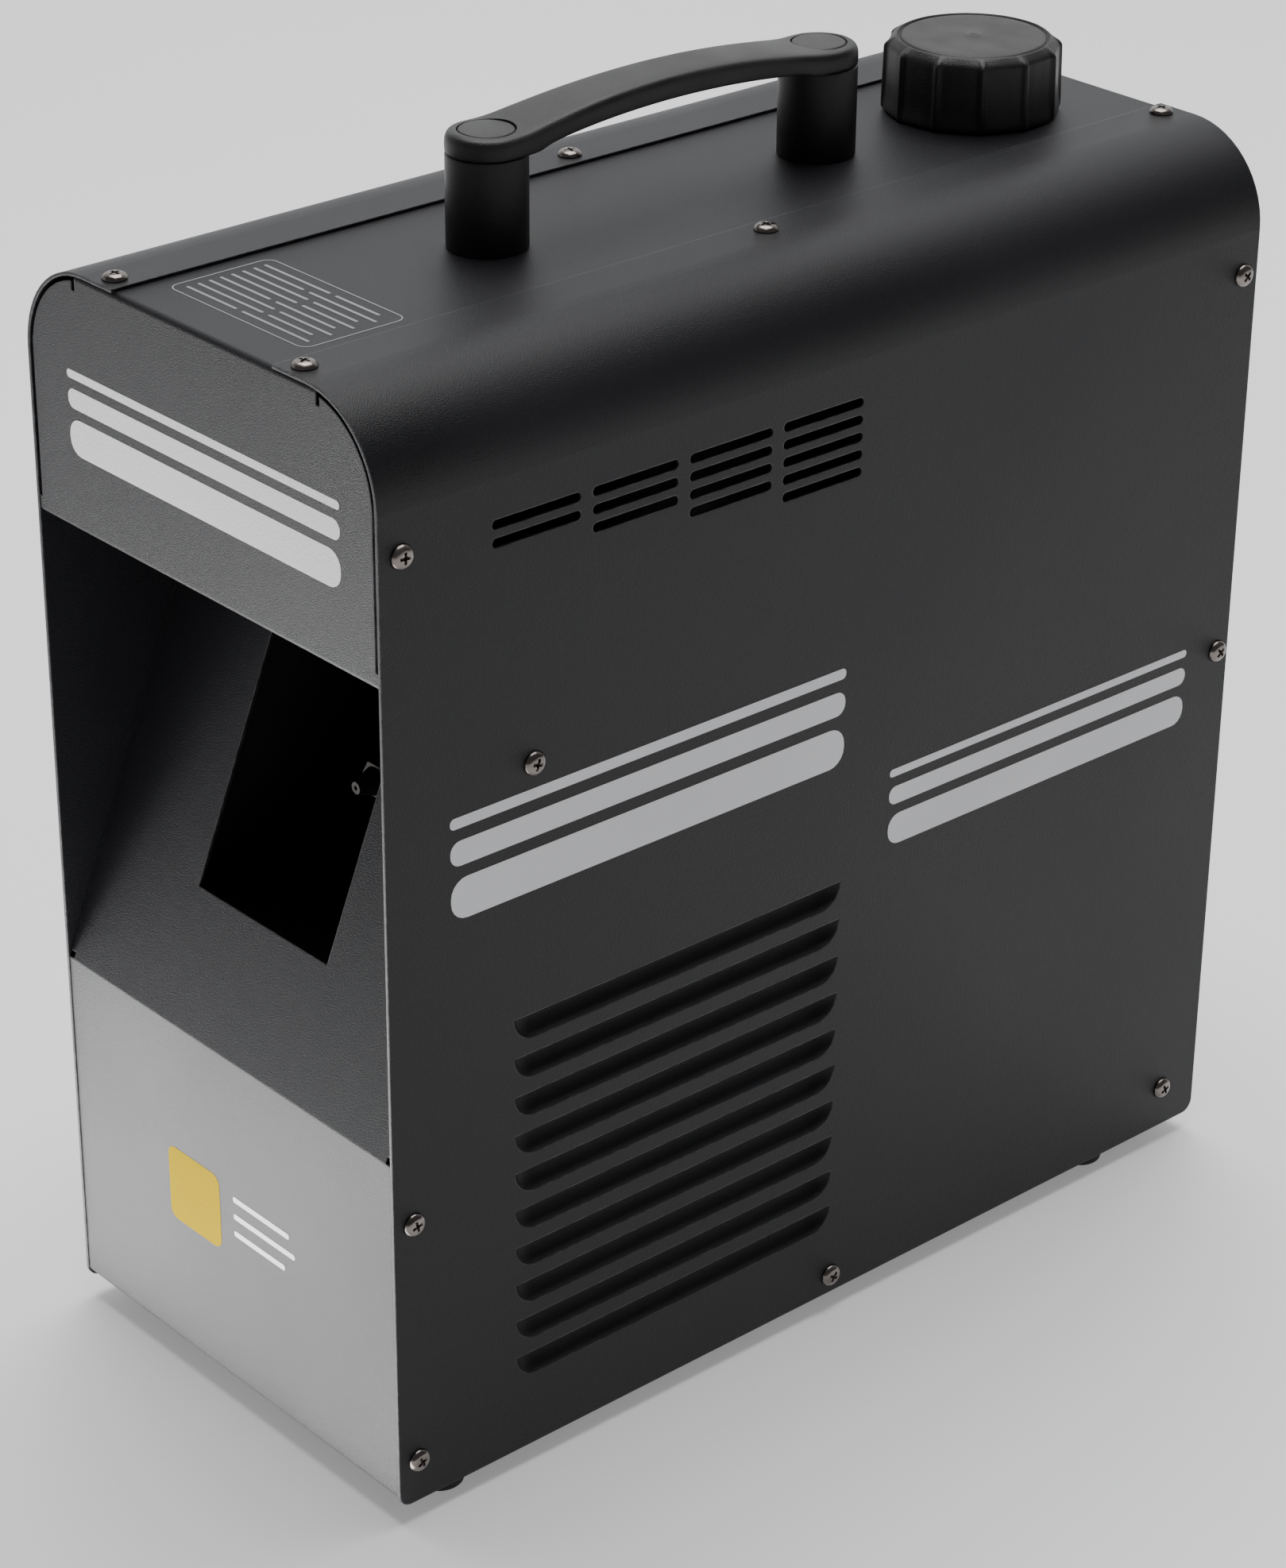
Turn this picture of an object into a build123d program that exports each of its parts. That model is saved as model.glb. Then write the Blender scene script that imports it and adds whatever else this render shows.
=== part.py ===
"""Portable fog machine in a folded sheet-steel case, in millimetres.

The case stands on four rubber feet. Its front faces -Y, its controls face +Y and +Z is up. The origin
is on the floor under the middle of the case. Every function returns one sub-part, or one group of
identical fasteners, and the last function writes each of them to its own file.
"""

import os
from math import asin, cos, radians, sin, tan

from build123d import *

# ---- Driving dimensions ----
CASE_W = 186.0  # across the two side covers
CASE_L = 398.0  # front edge to rear edge of the covers
CASE_H = 400.0  # lower edge to top face of the covers
FLOOR_GAP = 8.0  # floor to the covers' lower edge
EDGE_R = 34.0  # large round between a cover's side and its top
SHEET = 1.2  # steel sheet of the covers and panels
BEND_R = 0.8  # inside radius of a fold
FIT = 0.3  # gap between a panel and the cover round it
SEAM_X = 42.5  # the top strip shows between the covers from -SEAM_X to SEAM_X

HALF_W = CASE_W / 2
FRONT_Y = -CASE_L / 2
REAR_Y = CASE_L / 2
TOP_Z = FLOOR_GAP + CASE_H
PANEL_X = HALF_W - SHEET - FIT  # outside of every flange that a cover is screwed to
FLANGE = 15.0  # depth of a screw flange

# Front: a plate up to the bend, then a slope that leans back behind the upper front plate
PLATE_Y = FRONT_Y + 0.3
PLATE_LOW_Z = FLOOR_GAP + 3.0
BEND_Z = FLOOR_GAP + 136.0
SLOPE_DEG = 68.0
VISOR_Z = FLOOR_GAP + 307.5  # lower edge of the upper front plate
SLOPE_TOP_Z = VISOR_Z + 14.0
OUTLET_W = 72.0
OUTLET_FROM = 48.5  # along the slope, from the bend to the outlet's lower edge
OUTLET_LEN = 100.0

FLOOR_PAN_Z = PLATE_LOW_Z + SHEET  # underside of the floor pan
FLOOR_TOP_Z = FLOOR_PAN_Z + SHEET
REAR_PLATE_Y = REAR_Y - 11.0  # the rear panel is set in, to shelter its sockets

# Vent slots high on each side: columns of slots that all start at one row
SLOT_LEN = 36.0
SLOT_WIDE = 3.4
SLOT_PITCH = 6.2
SLOT_TOP_Z = FLOOR_GAP + 350.8
SLOT_FIRST_Y = FRONT_Y + 62.4
SLOT_COLUMN = 40.9
SLOTS_PER_COLUMN = (2, 3, 4, 5)

# Louvres low on each side, pressed inwards below a straight cut
LOUVRE_COUNT = 10
LOUVRE_LEN = 148.0
LOUVRE_PITCH = 14.87
LOUVRE_LOW_Z = FLOOR_GAP + 38.2  # the lowest cut
LOUVRE_MID_Y = FRONT_Y + 125.6
LOUVRE_TALL = 9.2
LOUVRE_DEEP = 5.2

# Screws: pan heads with a cross recess
SCREW_R = 2.0
SCREW_HOLE_R = 2.15
HEAD_R = 4.3
HEAD_TALL = 2.2
SCREW_LEN = 8.0
SIDE_SCREWS = (
    (FRONT_Y + 9.0, FLOOR_GAP + 350.8),
    (FRONT_Y + 8.4, FLOOR_GAP + 111.3),
    (FRONT_Y + 8.4, FLOOR_GAP + 16.6),
    (FRONT_Y + 60.8, FLOOR_GAP + 264.0),
    (REAR_Y - 7.2, FLOOR_GAP + 350.3),
    (REAR_Y - 5.8, FLOOR_GAP + 202.0),
    (REAR_Y - 18.6, FLOOR_GAP + 17.0),
    (2.0, FLOOR_GAP + 7.4),
)
TOP_SCREW_X = 50.0
TOP_SCREW_YS = (FRONT_Y + 6.8, -1.5, REAR_Y - 8.0)
STRIP_X = 64.0  # the top strip runs this far out under the covers' top edges
STRIP_Z = TOP_Z - SHEET  # its top face

# Feet
FOOT_X = 79.0
FOOT_YS = (FRONT_Y + 28.0, FRONT_Y + 349.0)
FOOT_TOP_R = 10.0
FOOT_LOW_R = 8.6

# Handle
POST_R = 13.8
POST_YS = (FRONT_Y + 119.6, FRONT_Y + 267.4)
POST_TOP_Z = TOP_Z + 31.0
GRIP_END_Z = TOP_Z + 38.6
GRIP_MID_Z = TOP_Z + 44.6
GRIP_MID_TALL = 8.4
GRIP_MID_W = 21.5
PLUG_R = 9.9
BOLT_R = 3.0

# Tank
TANK_W = 168.0
TANK_YS = (60.0, 176.0)
TANK_ZS = (222.0, 388.0)
TANK_WALL = 2.0
SPOUT_Y = 120.0  # the drain spout under the tank
NECK_Y = FRONT_Y + 343.8
NECK_R = 27.4
NECK_BORE_R = 24.0
THREAD_R = 28.6
NECK_TOP_Z = TOP_Z + 19.0
CAP_R = 32.5
CAP_BORE_R = 29.0
CAP_LOW_Z = STRIP_Z + 0.6
CAP_TOP_Z = TOP_Z + 26.0
CAP_RIBS = 12
CAP_TURN = 21.1  # from +X to a rib when the cap is screwed home, in degrees
SEAL_TALL = 1.6

# Outlet duct and its fan
DUCT_W = 84.0
DUCT_ZS = (186.0, 286.0)
DUCT_WALL = 1.0
DUCT_BACK_Y = -62.0
FAN_SIDE = 80.0
FAN_DEEP = 25.0
FAN_SCREW_IN = 4.25
FAN_Z = sum(DUCT_ZS) / 2
FAN_BORE_R = 38.2
ROTOR_R = 37.2
HUB_R = 18.0
BLADES = 7

# Heater, under the duct
HEATER_YS = (-150.0, -20.0)
HEATER_W = 78.0
HEATER_Z = 84.0  # the joint between its two halves
HEATER_HALF_TALL = 22.0
STEAM_PIPE_R = 3.0
ELEMENT_R = 5.0
ELEMENT_XS = (-26.0, 26.0)
HEATER_BOLT_X = -6.0
HEATER_BOLT_YS = (-135.0, -85.0, -35.0)
WOOL = 8.0
PIPE_X = 14.0
NOZZLE_Y = -112.0
NOZZLE_Z = 236.0

# Pump, standing on the floor between the heater and the rear
PUMP_X = 46.0
PUMP_Y = 62.0
PUMP_LOW_Z = 48.0
PUMP_SIDE = 40.0
PUMP_TALL = 54.0
PLUNGER_R = 6.0
BARREL_R = 8.0

PARTITION_Y = 26.0
BOARD_XS = (-84.0, 4.0)
BOARD_Y = 34.0
BOARD_ZS = (44.0, 180.0)

# Rear controls: (x, z) on the rear panel
SCREEN_X = -24.0
SCREEN_Z = 352.0
KEY_XS = (24.0, 38.0, 52.0, 66.0)
KEY_Z = 352.0
KEY_R = 4.0
DMX_XS = (-26.0, 26.0)
DMX_Z = 186.0
INLET_X = -42.0
SWITCH_X = 16.0
SWITCH_PIVOT = -2.0  # the rocker's pivot, from the panel's outer face
SWITCH_TILT = 11.0  # to each side of level
FUSE_X = 56.0
MAINS_Z = 62.0
VENT_LOW_Z = 104.0
VENT_WIDE = 4.0
VENT_PITCH = 9.0


# ---- Small helpers ----
def block(xs, ys, zs):
    """A box between two limits on each axis."""
    spans = [b - a for a, b in (xs, ys, zs)]
    middles = [(a + b) / 2 for a, b in (xs, ys, zs)]
    return Pos(*middles) * Box(*spans)


def rod_x(y, z, xs, radius):
    """A cylinder along X between two x values."""
    return Pos(sum(xs) / 2, y, z) * Rot(0, 90, 0) * Cylinder(radius, abs(xs[1] - xs[0]))


def rod_y(x, z, ys, radius):
    """A cylinder along Y between two y values."""
    return Pos(x, sum(ys) / 2, z) * Rot(90, 0, 0) * Cylinder(radius, abs(ys[1] - ys[0]))


def rod_z(x, y, zs, radius):
    """A cylinder along Z between two z values."""
    return Pos(x, y, sum(zs) / 2) * Cylinder(radius, abs(zs[1] - zs[0]))


def ring_z(x, y, zs, radius, bore):
    """A round tube along Z."""
    return rod_z(x, y, zs, radius) - rod_z(x, y, (zs[0] - 1, zs[1] + 1), bore)


def both_sides(shape):
    """The shape and its twin across the middle of the case."""
    return shape + mirror(shape, about=Plane.YZ)


def group(shapes):
    """Identical separate solids in one sub-part."""
    return Compound(children=list(shapes))


def case_block(inset, ys, low_z):
    """The inside of the covers, shrunk by an inset: a block with the two large top rounds."""
    body = block((inset - HALF_W, HALF_W - inset), ys, (low_z, TOP_Z - inset))
    return fillet(body.edges().filter_by(Axis.Y).group_by(Axis.Z)[-1], EDGE_R - inset)


def slope_y(z):
    """Where the outside of the slope is at a height."""
    return PLATE_Y + (z - BEND_Z) / tan(radians(SLOPE_DEG))


def on_slope(along, behind=0.0):
    """(y, z) of a point that lies along the slope from the bend, and behind its outer face."""
    a = radians(SLOPE_DEG)
    return (
        PLATE_Y + along * cos(a) + behind * sin(a),
        BEND_Z + along * sin(a) - behind * cos(a),
    )


def folded(points, xs):
    """A sheet folded along (y, z) points and running from xs[0] to xs[1]. Its thickness is on the left
    of the direction of travel."""
    path = [Vector(y, z) for y, z in points]
    runs = [(b - a).normalized() for a, b in zip(path, path[1:])]
    left = [Vector(-run.Y, run.X) * SHEET for run in runs]
    inner = [path[0] + left[0]]
    radii_outer, radii_inner = [], []
    for before, after, corner, shift in zip(runs, runs[1:], path[1:], left):
        turn = before.X * after.Y - before.Y * after.X
        half = tan(asin(max(-1.0, min(1.0, turn))) / 2)
        inner.append(corner + shift - before * SHEET * half)
        radii_outer.append(BEND_R + (SHEET if turn > 0 else 0))
        radii_inner.append(BEND_R + (0 if turn > 0 else SHEET))
    inner.append(path[-1] + left[-1])
    outline = FilletPolyline(*path, radius=radii_outer) + Line(path[-1], inner[-1])
    outline += FilletPolyline(*inner[::-1], radius=radii_inner[::-1]) + Line(inner[0], path[0])
    face = Plane.YZ.offset(xs[0]) * make_face(outline)
    return extrude(face, xs[1] - xs[0])


def prism_x(points, xs):
    """A prism along X on a (y, z) outline."""
    face = Plane.YZ.offset(xs[0]) * make_face(Polyline(*points, close=True))
    return extrude(face, xs[1] - xs[0])


def side_screw_holes(radius, ys=(FRONT_Y, REAR_Y)):
    """Rods through both sides of the case where the side screws go."""
    return [rod_x(y, z, (-HALF_W - 5, HALF_W + 5), radius) for y, z in SIDE_SCREWS if ys[0] <= y <= ys[1]]


def top_screw_holes(radius):
    """Rods through the top where the covers are screwed to the strip."""
    places = [(x, y) for y in TOP_SCREW_YS for x in (-TOP_SCREW_X, TOP_SCREW_X)]
    return [rod_z(x, y, (TOP_Z - 6, TOP_Z + 2), radius) for x, y in places]


def pan_screw():
    """A pan-head screw along +Z: its head stands on z = 0 and its shank goes down."""
    head = Cylinder(HEAD_R, HEAD_TALL, align=(Align.CENTER, Align.CENTER, Align.MIN))
    head = fillet(head.edges().group_by(Axis.Z)[-1], 1.5)
    shank = Cylinder(SCREW_R, SCREW_LEN, align=(Align.CENTER, Align.CENTER, Align.MAX))
    slot = Pos(0, 0, HEAD_TALL) * Box(4.6, 1.0, 2.6) + Pos(0, 0, HEAD_TALL) * Box(1.0, 4.6, 2.6)
    return head + shank - slot


# ---- Case ----
def louvre_capsule(radius, cut_z):
    """A round-ended rod along Y, standing outside the right cover, that shapes one louvre."""
    x = HALF_W + louvre_offset()
    half = LOUVRE_LEN / 2 - LOUVRE_TALL
    ends = [Pos(x, LOUVRE_MID_Y + s * half, cut_z) * Sphere(radius) for s in (-1, 1)]
    return rod_y(x, cut_z, (LOUVRE_MID_Y - half, LOUVRE_MID_Y + half), radius) + ends


def louvre_offset():
    """How far outside the cover the louvre's circle is centred, from its height and depth."""
    return (LOUVRE_TALL**2 - LOUVRE_DEEP**2) / (2 * LOUVRE_DEEP)


def right_cover():
    """The right cover: side wall, large round and top flange, with slots, louvres and screw holes."""
    cover = case_block(0, (FRONT_Y, REAR_Y), FLOOR_GAP) - case_block(SHEET, (FRONT_Y - 1, REAR_Y + 1), 0)
    keep = block((SEAM_X, HALF_W + 1), (FRONT_Y, REAR_Y), (FLOOR_GAP, TOP_Z))
    cover &= fillet(keep.edges().filter_by(Axis.X).group_by(Axis.Z)[0], 5)
    radius = louvre_offset() + LOUVRE_DEEP
    for row in range(LOUVRE_COUNT):
        cut_z = LOUVRE_LOW_Z + row * LOUVRE_PITCH
        reach = block((HALF_W - 12, HALF_W), (FRONT_Y, REAR_Y), (cut_z - 14, cut_z))
        scoop = louvre_capsule(radius, cut_z)
        skin = louvre_capsule(radius + SHEET, cut_z)
        cover = cover - (scoop & reach) + ((skin - scoop) & reach)
    slots = []
    for column, rows in enumerate(SLOTS_PER_COLUMN):
        for row in range(rows):
            place = Pos(SLOT_FIRST_Y + column * SLOT_COLUMN, SLOT_TOP_Z - row * SLOT_PITCH)
            face = Plane.YZ.offset(HALF_W - 5) * place * SlotOverall(SLOT_LEN, SLOT_WIDE)
            slots.append(extrude(face, 10))
    return cover - slots - side_screw_holes(SCREW_HOLE_R) - top_screw_holes(SCREW_HOLE_R)


def left_cover():
    """The left cover, the mirror image of the right one."""
    return mirror(right_cover(), about=Plane.YZ)


def side_flange(ys, zs):
    """A pair of flanges folded along the two sides, where side screws bite."""
    return both_sides(block((PANEL_X - SHEET, PANEL_X), ys, zs))


def front_panel():
    """Lower front plate and outlet slope, one sheet folded at the bend, with flanges down each side."""
    foot = (PLATE_Y + FLANGE, PLATE_LOW_Z)
    top = (slope_y(SLOPE_TOP_Z), SLOPE_TOP_Z)
    route = (top, (PLATE_Y, BEND_Z), (PLATE_Y, PLATE_LOW_Z), foot)
    panel = folded(route, (-PANEL_X, PANEL_X))
    panel += side_flange((PLATE_Y + 0.6, PLATE_Y + FLANGE), (PLATE_LOW_Z + SHEET, BEND_Z - 1))
    reach = (SLOPE_TOP_Z - BEND_Z) / sin(radians(SLOPE_DEG))
    wing = (on_slope(6, 0.6), on_slope(reach, 0.6), on_slope(reach - 4, FLANGE), on_slope(8, FLANGE))
    panel += both_sides(prism_x(wing, (PANEL_X - SHEET, PANEL_X)))
    low, high = OUTLET_FROM, OUTLET_FROM + OUTLET_LEN
    window = (on_slope(low, -3), on_slope(high, -3), on_slope(high, 5), on_slope(low, 5))
    panel -= prism_x(window, (-OUTLET_W / 2, OUTLET_W / 2))
    relief = rod_x(PLATE_Y + 1.5, BEND_Z + 1, (PANEL_X - 2.5, PANEL_X + 1), 1.5)
    return panel - both_sides(relief) - side_screw_holes(SCREW_R + 0.05)


def top_panel():
    """Top strip, upper front plate and the shelf that closes the outlet recess above, folded from one
    sheet. The strip passes under the covers' top edges, which are screwed down on it."""
    shelf_back = slope_y(VISOR_Z) - 0.4
    route = ((REAR_Y - 0.5, STRIP_Z), (PLATE_Y, STRIP_Z), (PLATE_Y, VISOR_Z), (shelf_back, VISOR_Z))
    panel = folded(route, (-STRIP_X, STRIP_X)) & case_block(SHEET, (FRONT_Y, REAR_Y), FLOOR_GAP)
    plate_ys = (PLATE_Y, PLATE_Y + SHEET)
    face = case_block(SHEET + 1.6, plate_ys, VISOR_Z)
    face &= block((-PANEL_X, PANEL_X), plate_ys, (VISOR_Z + 2, STRIP_Z - 2.2))
    low_route = ((PLATE_Y, VISOR_Z + 6), (PLATE_Y, VISOR_Z), (shelf_back, VISOR_Z))
    panel += face + folded(low_route, (-PANEL_X, PANEL_X))
    panel += side_flange((PLATE_Y + 0.6, PLATE_Y + FLANGE), (VISOR_Z + SHEET + 1, TOP_Z - 30))
    slit = block((STRIP_X - 0.2, STRIP_X + 1.6), (PLATE_Y - 1, PLATE_Y + 2), (STRIP_Z - 5.5, TOP_Z))
    panel -= both_sides(slit)
    panel -= rod_z(0, NECK_Y, (TOP_Z - 5, TOP_Z + 2), THREAD_R + 0.8)
    panel -= [rod_z(0, y, (TOP_Z - 5, TOP_Z + 2), BOLT_R + 0.2) for y in POST_YS]
    return panel - side_screw_holes(SCREW_R + 0.05) - top_screw_holes(SCREW_R + 0.05)


def floor_pan():
    """The floor of the case with an upturned flange along each side, and holes for what stands on it."""
    ys = (PLATE_Y + SHEET + BEND_R + 0.2, REAR_PLATE_Y - SHEET - 0.2)
    zs = (FLOOR_PAN_Z, FLOOR_TOP_Z)
    narrow = PANEL_X - SHEET - 0.3
    flange_ys = (PLATE_Y + FLANGE + 1, REAR_PLATE_Y - SHEET - 0.5)
    floor = block((-narrow, narrow), ys, zs) + block((-PANEL_X + 0.6, PANEL_X - 0.6), flange_ys, zs)
    flanges = side_flange(flange_ys, (FLOOR_PAN_Z, FLOOR_TOP_Z + 22))
    feet = [rod_z(x, y, (0, 20), SCREW_R + 0.05) for y in FOOT_YS for x in (-FOOT_X, FOOT_X)]
    vent = extrude(Pos(-42, 30, FLOOR_PAN_Z - 2) * SlotOverall(60, VENT_WIDE), 6)
    vents = [Pos(0, row * VENT_PITCH, 0) * vent for row in range(7)]
    return floor + flanges - feet - vents - side_screw_holes(SCREW_R + 0.05)


def rear_panel():
    """The rear panel, set in from the covers' edges by flanges turned back, with all its cut-outs."""
    plate_ys = (REAR_PLATE_Y - SHEET, REAR_PLATE_Y)
    plate = case_block(SHEET + FIT, plate_ys, PLATE_LOW_Z)
    plate &= block((-PANEL_X, PANEL_X), plate_ys, (PLATE_LOW_Z, TOP_Z - 2 * SHEET))
    flange_ys = (REAR_PLATE_Y - SHEET, REAR_Y - 0.5)
    plate += side_flange(flange_ys, (PLATE_LOW_Z, TOP_Z - EDGE_R - 2))
    plate += block((-PANEL_X, PANEL_X), flange_ys, (PLATE_LOW_Z, PLATE_LOW_Z + SHEET))
    cuts = [screen_block(0.2, 12), inlet_block(0.2), switch_block(0.2)]
    cuts += [rod_y(x, KEY_Z, (REAR_PLATE_Y - 4, REAR_PLATE_Y + 2), KEY_R + 0.5) for x in KEY_XS]
    cuts += [rod_y(x, DMX_Z, (REAR_PLATE_Y - 4, REAR_PLATE_Y + 2), 12.0) for x in DMX_XS]
    cuts += [rod_y(FUSE_X, MAINS_Z, (REAR_PLATE_Y - 4, REAR_PLATE_Y + 2), 6.6)]
    for column in (-1, 0, 1):
        for row in range(6):
            place = Pos(column * 48, VENT_LOW_Z + row * VENT_PITCH)
            face = Plane.XZ.offset(-REAR_PLATE_Y - 3) * place * SlotOverall(40, VENT_WIDE)
            cuts.append(extrude(face, 10))
    return plate - cuts - side_screw_holes(SCREW_R + 0.05)


def partition():
    """Steel wall across the case that keeps the heater's warmth from the tank and the boards."""
    y = PARTITION_Y
    x = PANEL_X - SHEET - 0.2
    wall = block((-x, x), (y, y + SHEET), (FLOOR_TOP_Z, TOP_Z - EDGE_R - 2))
    foot = block((-x + 2, x - 2), (y, y + 14), (FLOOR_TOP_Z, FLOOR_TOP_Z + SHEET))
    hose_hole = rod_y(PIPE_X, hose_top_z(), (y - 2, y + 4), 7)
    return wall + foot - hose_hole


def tank_shelf():
    """The shelf that the tank sits on, folded down at the back and hung between the walls."""
    z = TANK_ZS[0] - SHEET - 0.2
    ys = (PARTITION_Y + SHEET + 0.2, REAR_PLATE_Y - SHEET - 0.3)
    shelf = block((-PANEL_X + 0.5, PANEL_X - 0.5), ys, (z, z + SHEET))
    skirts = both_sides(block((PANEL_X - 0.5 - SHEET, PANEL_X - 0.5), ys, (z - 12, z)))
    return shelf + skirts - rod_z(PUMP_X, SPOUT_Y, (z - 2, z + 4), 8)


# ---- Feet and screws ----
def rubber_feet():
    """Four round rubber feet, each with a recess underneath for its screw."""
    profile = Cone(FOOT_LOW_R, FOOT_TOP_R, FLOOR_PAN_Z, align=(Align.CENTER, Align.CENTER, Align.MIN))
    foot = profile - Cylinder(4.8, 10, align=(Align.CENTER,) * 3) - Cylinder(SCREW_R + 0.2, 60)
    return group(Pos(x, y, 0) * foot for y in FOOT_YS for x in (-FOOT_X, FOOT_X))


def foot_screws():
    """The screws that hold the feet, driven up through them into the floor pan."""
    screw = Rot(180, 0, 0) * pan_screw()
    rise = Cylinder(SCREW_R, 12, align=(Align.CENTER, Align.CENTER, Align.MIN))
    return group(Pos(x, y, 5.0) * (screw + rise) for y in FOOT_YS for x in (-FOOT_X, FOOT_X))


def cover_screws():
    """The identical screws of both covers: eight down each side and three along each side of the top."""
    places = [Pos(s * HALF_W, y, z) * Rot(0, s * 90, 0) for s in (-1, 1) for y, z in SIDE_SCREWS]
    places += [Pos(x, y, TOP_Z) for y in TOP_SCREW_YS for x in (-TOP_SCREW_X, TOP_SCREW_X)]
    return group(place * pan_screw() for place in places)


# ---- Handle ----
def handle_posts():
    """Two round posts that hold the grip above the case."""
    post = Cylinder(POST_R, POST_TOP_Z - STRIP_Z, align=(Align.CENTER, Align.CENTER, Align.MIN))
    post -= Cylinder(BOLT_R + 0.2, 200)
    return group(Pos(0, y, STRIP_Z) * post for y in POST_YS)


def handle_grip():
    """The arched grip: a long plan with round ends, cut to its side profile and rounded along its edges."""
    front, back = POST_YS
    middle = (front + back) / 2
    half = (back - front) / 2
    pad = POST_R + 0.2
    waist = GRIP_MID_W / 2
    quarter = (pad + waist) / 2 - 0.9
    end_z = GRIP_END_Z - 2.2
    top = ThreePointArc((front - pad, end_z), (middle, GRIP_MID_Z), (back + pad, end_z))
    under_z = GRIP_MID_Z - GRIP_MID_TALL
    toe = POST_TOP_Z
    under = ThreePointArc((back - pad - 2, toe + 1.8), (middle, under_z), (front + pad + 2, toe + 1.8))
    outline = top + Line(top @ 1, (back + pad, toe)) + Line((back + pad, toe), (back - pad + 1, toe))
    outline += Line((back - pad + 1, toe), under @ 0) + under
    outline += Line(under @ 1, (front + pad - 1, toe)) + Line((front + pad - 1, toe), (front - pad, toe))
    outline += Line((front - pad, toe), top @ 0)
    side = extrude(Plane.YZ.offset(-30) * make_face(outline), 60)
    edge = Spline(
        (pad, front),
        (quarter, front + half * 0.4),
        (waist, middle),
        (quarter, back - half * 0.4),
        (pad, back),
        tangents=((0, 1), (0, 1)),
    )
    rear_end = ThreePointArc((pad, back), (0, back + pad), (-pad, back))
    front_end = ThreePointArc((-pad, front), (0, front - pad), (pad, front))
    plan = make_face(edge + rear_end + mirror(edge, about=Plane.YZ) + front_end)
    grip = side & extrude(Pos(0, 0, TOP_Z + 20) * plan, 40)
    pockets = [rod_z(0, y, (POST_TOP_Z + 3.4, GRIP_MID_Z + 9), PLUG_R) for y in POST_YS]
    holes = [rod_z(0, y, (POST_TOP_Z - 5, GRIP_MID_Z + 9), BOLT_R + 0.2) for y in POST_YS]
    return grip - pockets - holes


def handle_plugs():
    """Two round plugs, flush in the grip's ends, that hide the bolts."""
    return group(rod_z(0, y, (POST_TOP_Z + 6.4, GRIP_END_Z + 0.2), PLUG_R - 0.12) for y in POST_YS)


def handle_bolts():
    """Two long bolts down through grip, posts and top strip."""
    head_z = POST_TOP_Z + 3.4
    bolt = rod_z(0, 0, (TOP_Z - 10, head_z), BOLT_R) + rod_z(0, 0, (head_z, head_z + 2.8), 5.4)
    return group(Pos(0, y, 0) * bolt for y in POST_YS)


def handle_stay():
    """A stiff bar under the top strip, tapped for the handle's bolts, that spreads their load."""
    front, back = POST_YS
    zs = (STRIP_Z - SHEET - 3.0, STRIP_Z - SHEET)
    bar = block((-15, 15), (front - 14, back + 14), zs)
    return bar - [rod_z(0, y, (TOP_Z - 20, TOP_Z), BOLT_R + 0.05) for y in POST_YS]


# ---- Tank ----
def fluid_tank():
    """The plastic tank, with its drain spout and the mouth that the neck is welded into."""
    body = block((-TANK_W / 2, TANK_W / 2), TANK_YS, TANK_ZS)
    body = fillet(body.edges().filter_by(Axis.Z), 14)
    cavity = block(
        (TANK_WALL - TANK_W / 2, TANK_W / 2 - TANK_WALL),
        (TANK_YS[0] + TANK_WALL, TANK_YS[1] - TANK_WALL),
        (TANK_ZS[0] + TANK_WALL, TANK_ZS[1] - TANK_WALL),
    )
    cavity = fillet(cavity.edges().filter_by(Axis.Z), 14 - TANK_WALL)
    mouth = rod_z(0, NECK_Y, (TANK_ZS[1] - 5, TANK_ZS[1] + 1), NECK_R)
    spout = rod_z(PUMP_X, SPOUT_Y, (TANK_ZS[0] - 10, TANK_ZS[0] + 1), 5)
    drain = rod_z(PUMP_X, SPOUT_Y, (TANK_ZS[0] - 12, TANK_ZS[0] + 4), 2.5)
    return body - cavity - mouth + spout - drain


def tank_neck():
    """The threaded neck, welded into the tank's mouth, which stands up through the top strip."""
    neck = rod_z(0, NECK_Y, (TANK_ZS[1] - TANK_WALL, NECK_TOP_Z), NECK_R - 0.02)
    neck += rod_z(0, NECK_Y, (TANK_ZS[1] + 0.02, TANK_ZS[1] + 2.2), NECK_R + 5)
    for turn in range(2):
        low = NECK_TOP_Z - 7.5 - turn * 5
        neck += ring_z(0, NECK_Y, (low, low + 2.2), THREAD_R, NECK_R - 1)
    return neck - rod_z(0, NECK_Y, (TANK_ZS[1] - 5, NECK_TOP_Z + 1), NECK_BORE_R)


def tank_cap():
    """The ribbed screw cap: twelve shallow scooped faces between ribs, with a ring and a pip on top."""
    cap = rod_z(0, NECK_Y, (CAP_LOW_Z, CAP_TOP_Z), CAP_R)
    cap = chamfer(cap.edges().group_by(Axis.Z)[-1], 2.2, 4.0)
    scoop_r = 34.0
    reach = CAP_R + scoop_r - 1.6
    scoop = rod_z(reach, 0, (CAP_LOW_Z + 3, CAP_TOP_Z + 1), scoop_r)
    for index in range(CAP_RIBS):
        turn = CAP_TURN + 360 / CAP_RIBS * (index + 0.5)
        cap -= Pos(0, NECK_Y, 0) * Rot(0, 0, turn) * scoop
    cap -= rod_z(0, NECK_Y, (CAP_LOW_Z - 1, NECK_TOP_Z + SEAL_TALL), CAP_BORE_R)
    cap -= ring_z(0, NECK_Y, (CAP_TOP_Z - 0.5, CAP_TOP_Z + 1), 26.9, 26.2)
    return cap + rod_z(0, NECK_Y, (CAP_TOP_Z - 0.5, CAP_TOP_Z + 0.3), 1.4)


def cap_seal():
    """The flat seal inside the cap, which presses on the rim of the neck."""
    return rod_z(0, NECK_Y, (NECK_TOP_Z + 0.02, NECK_TOP_Z + SEAL_TALL - 0.05), CAP_BORE_R - 0.3)


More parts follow.
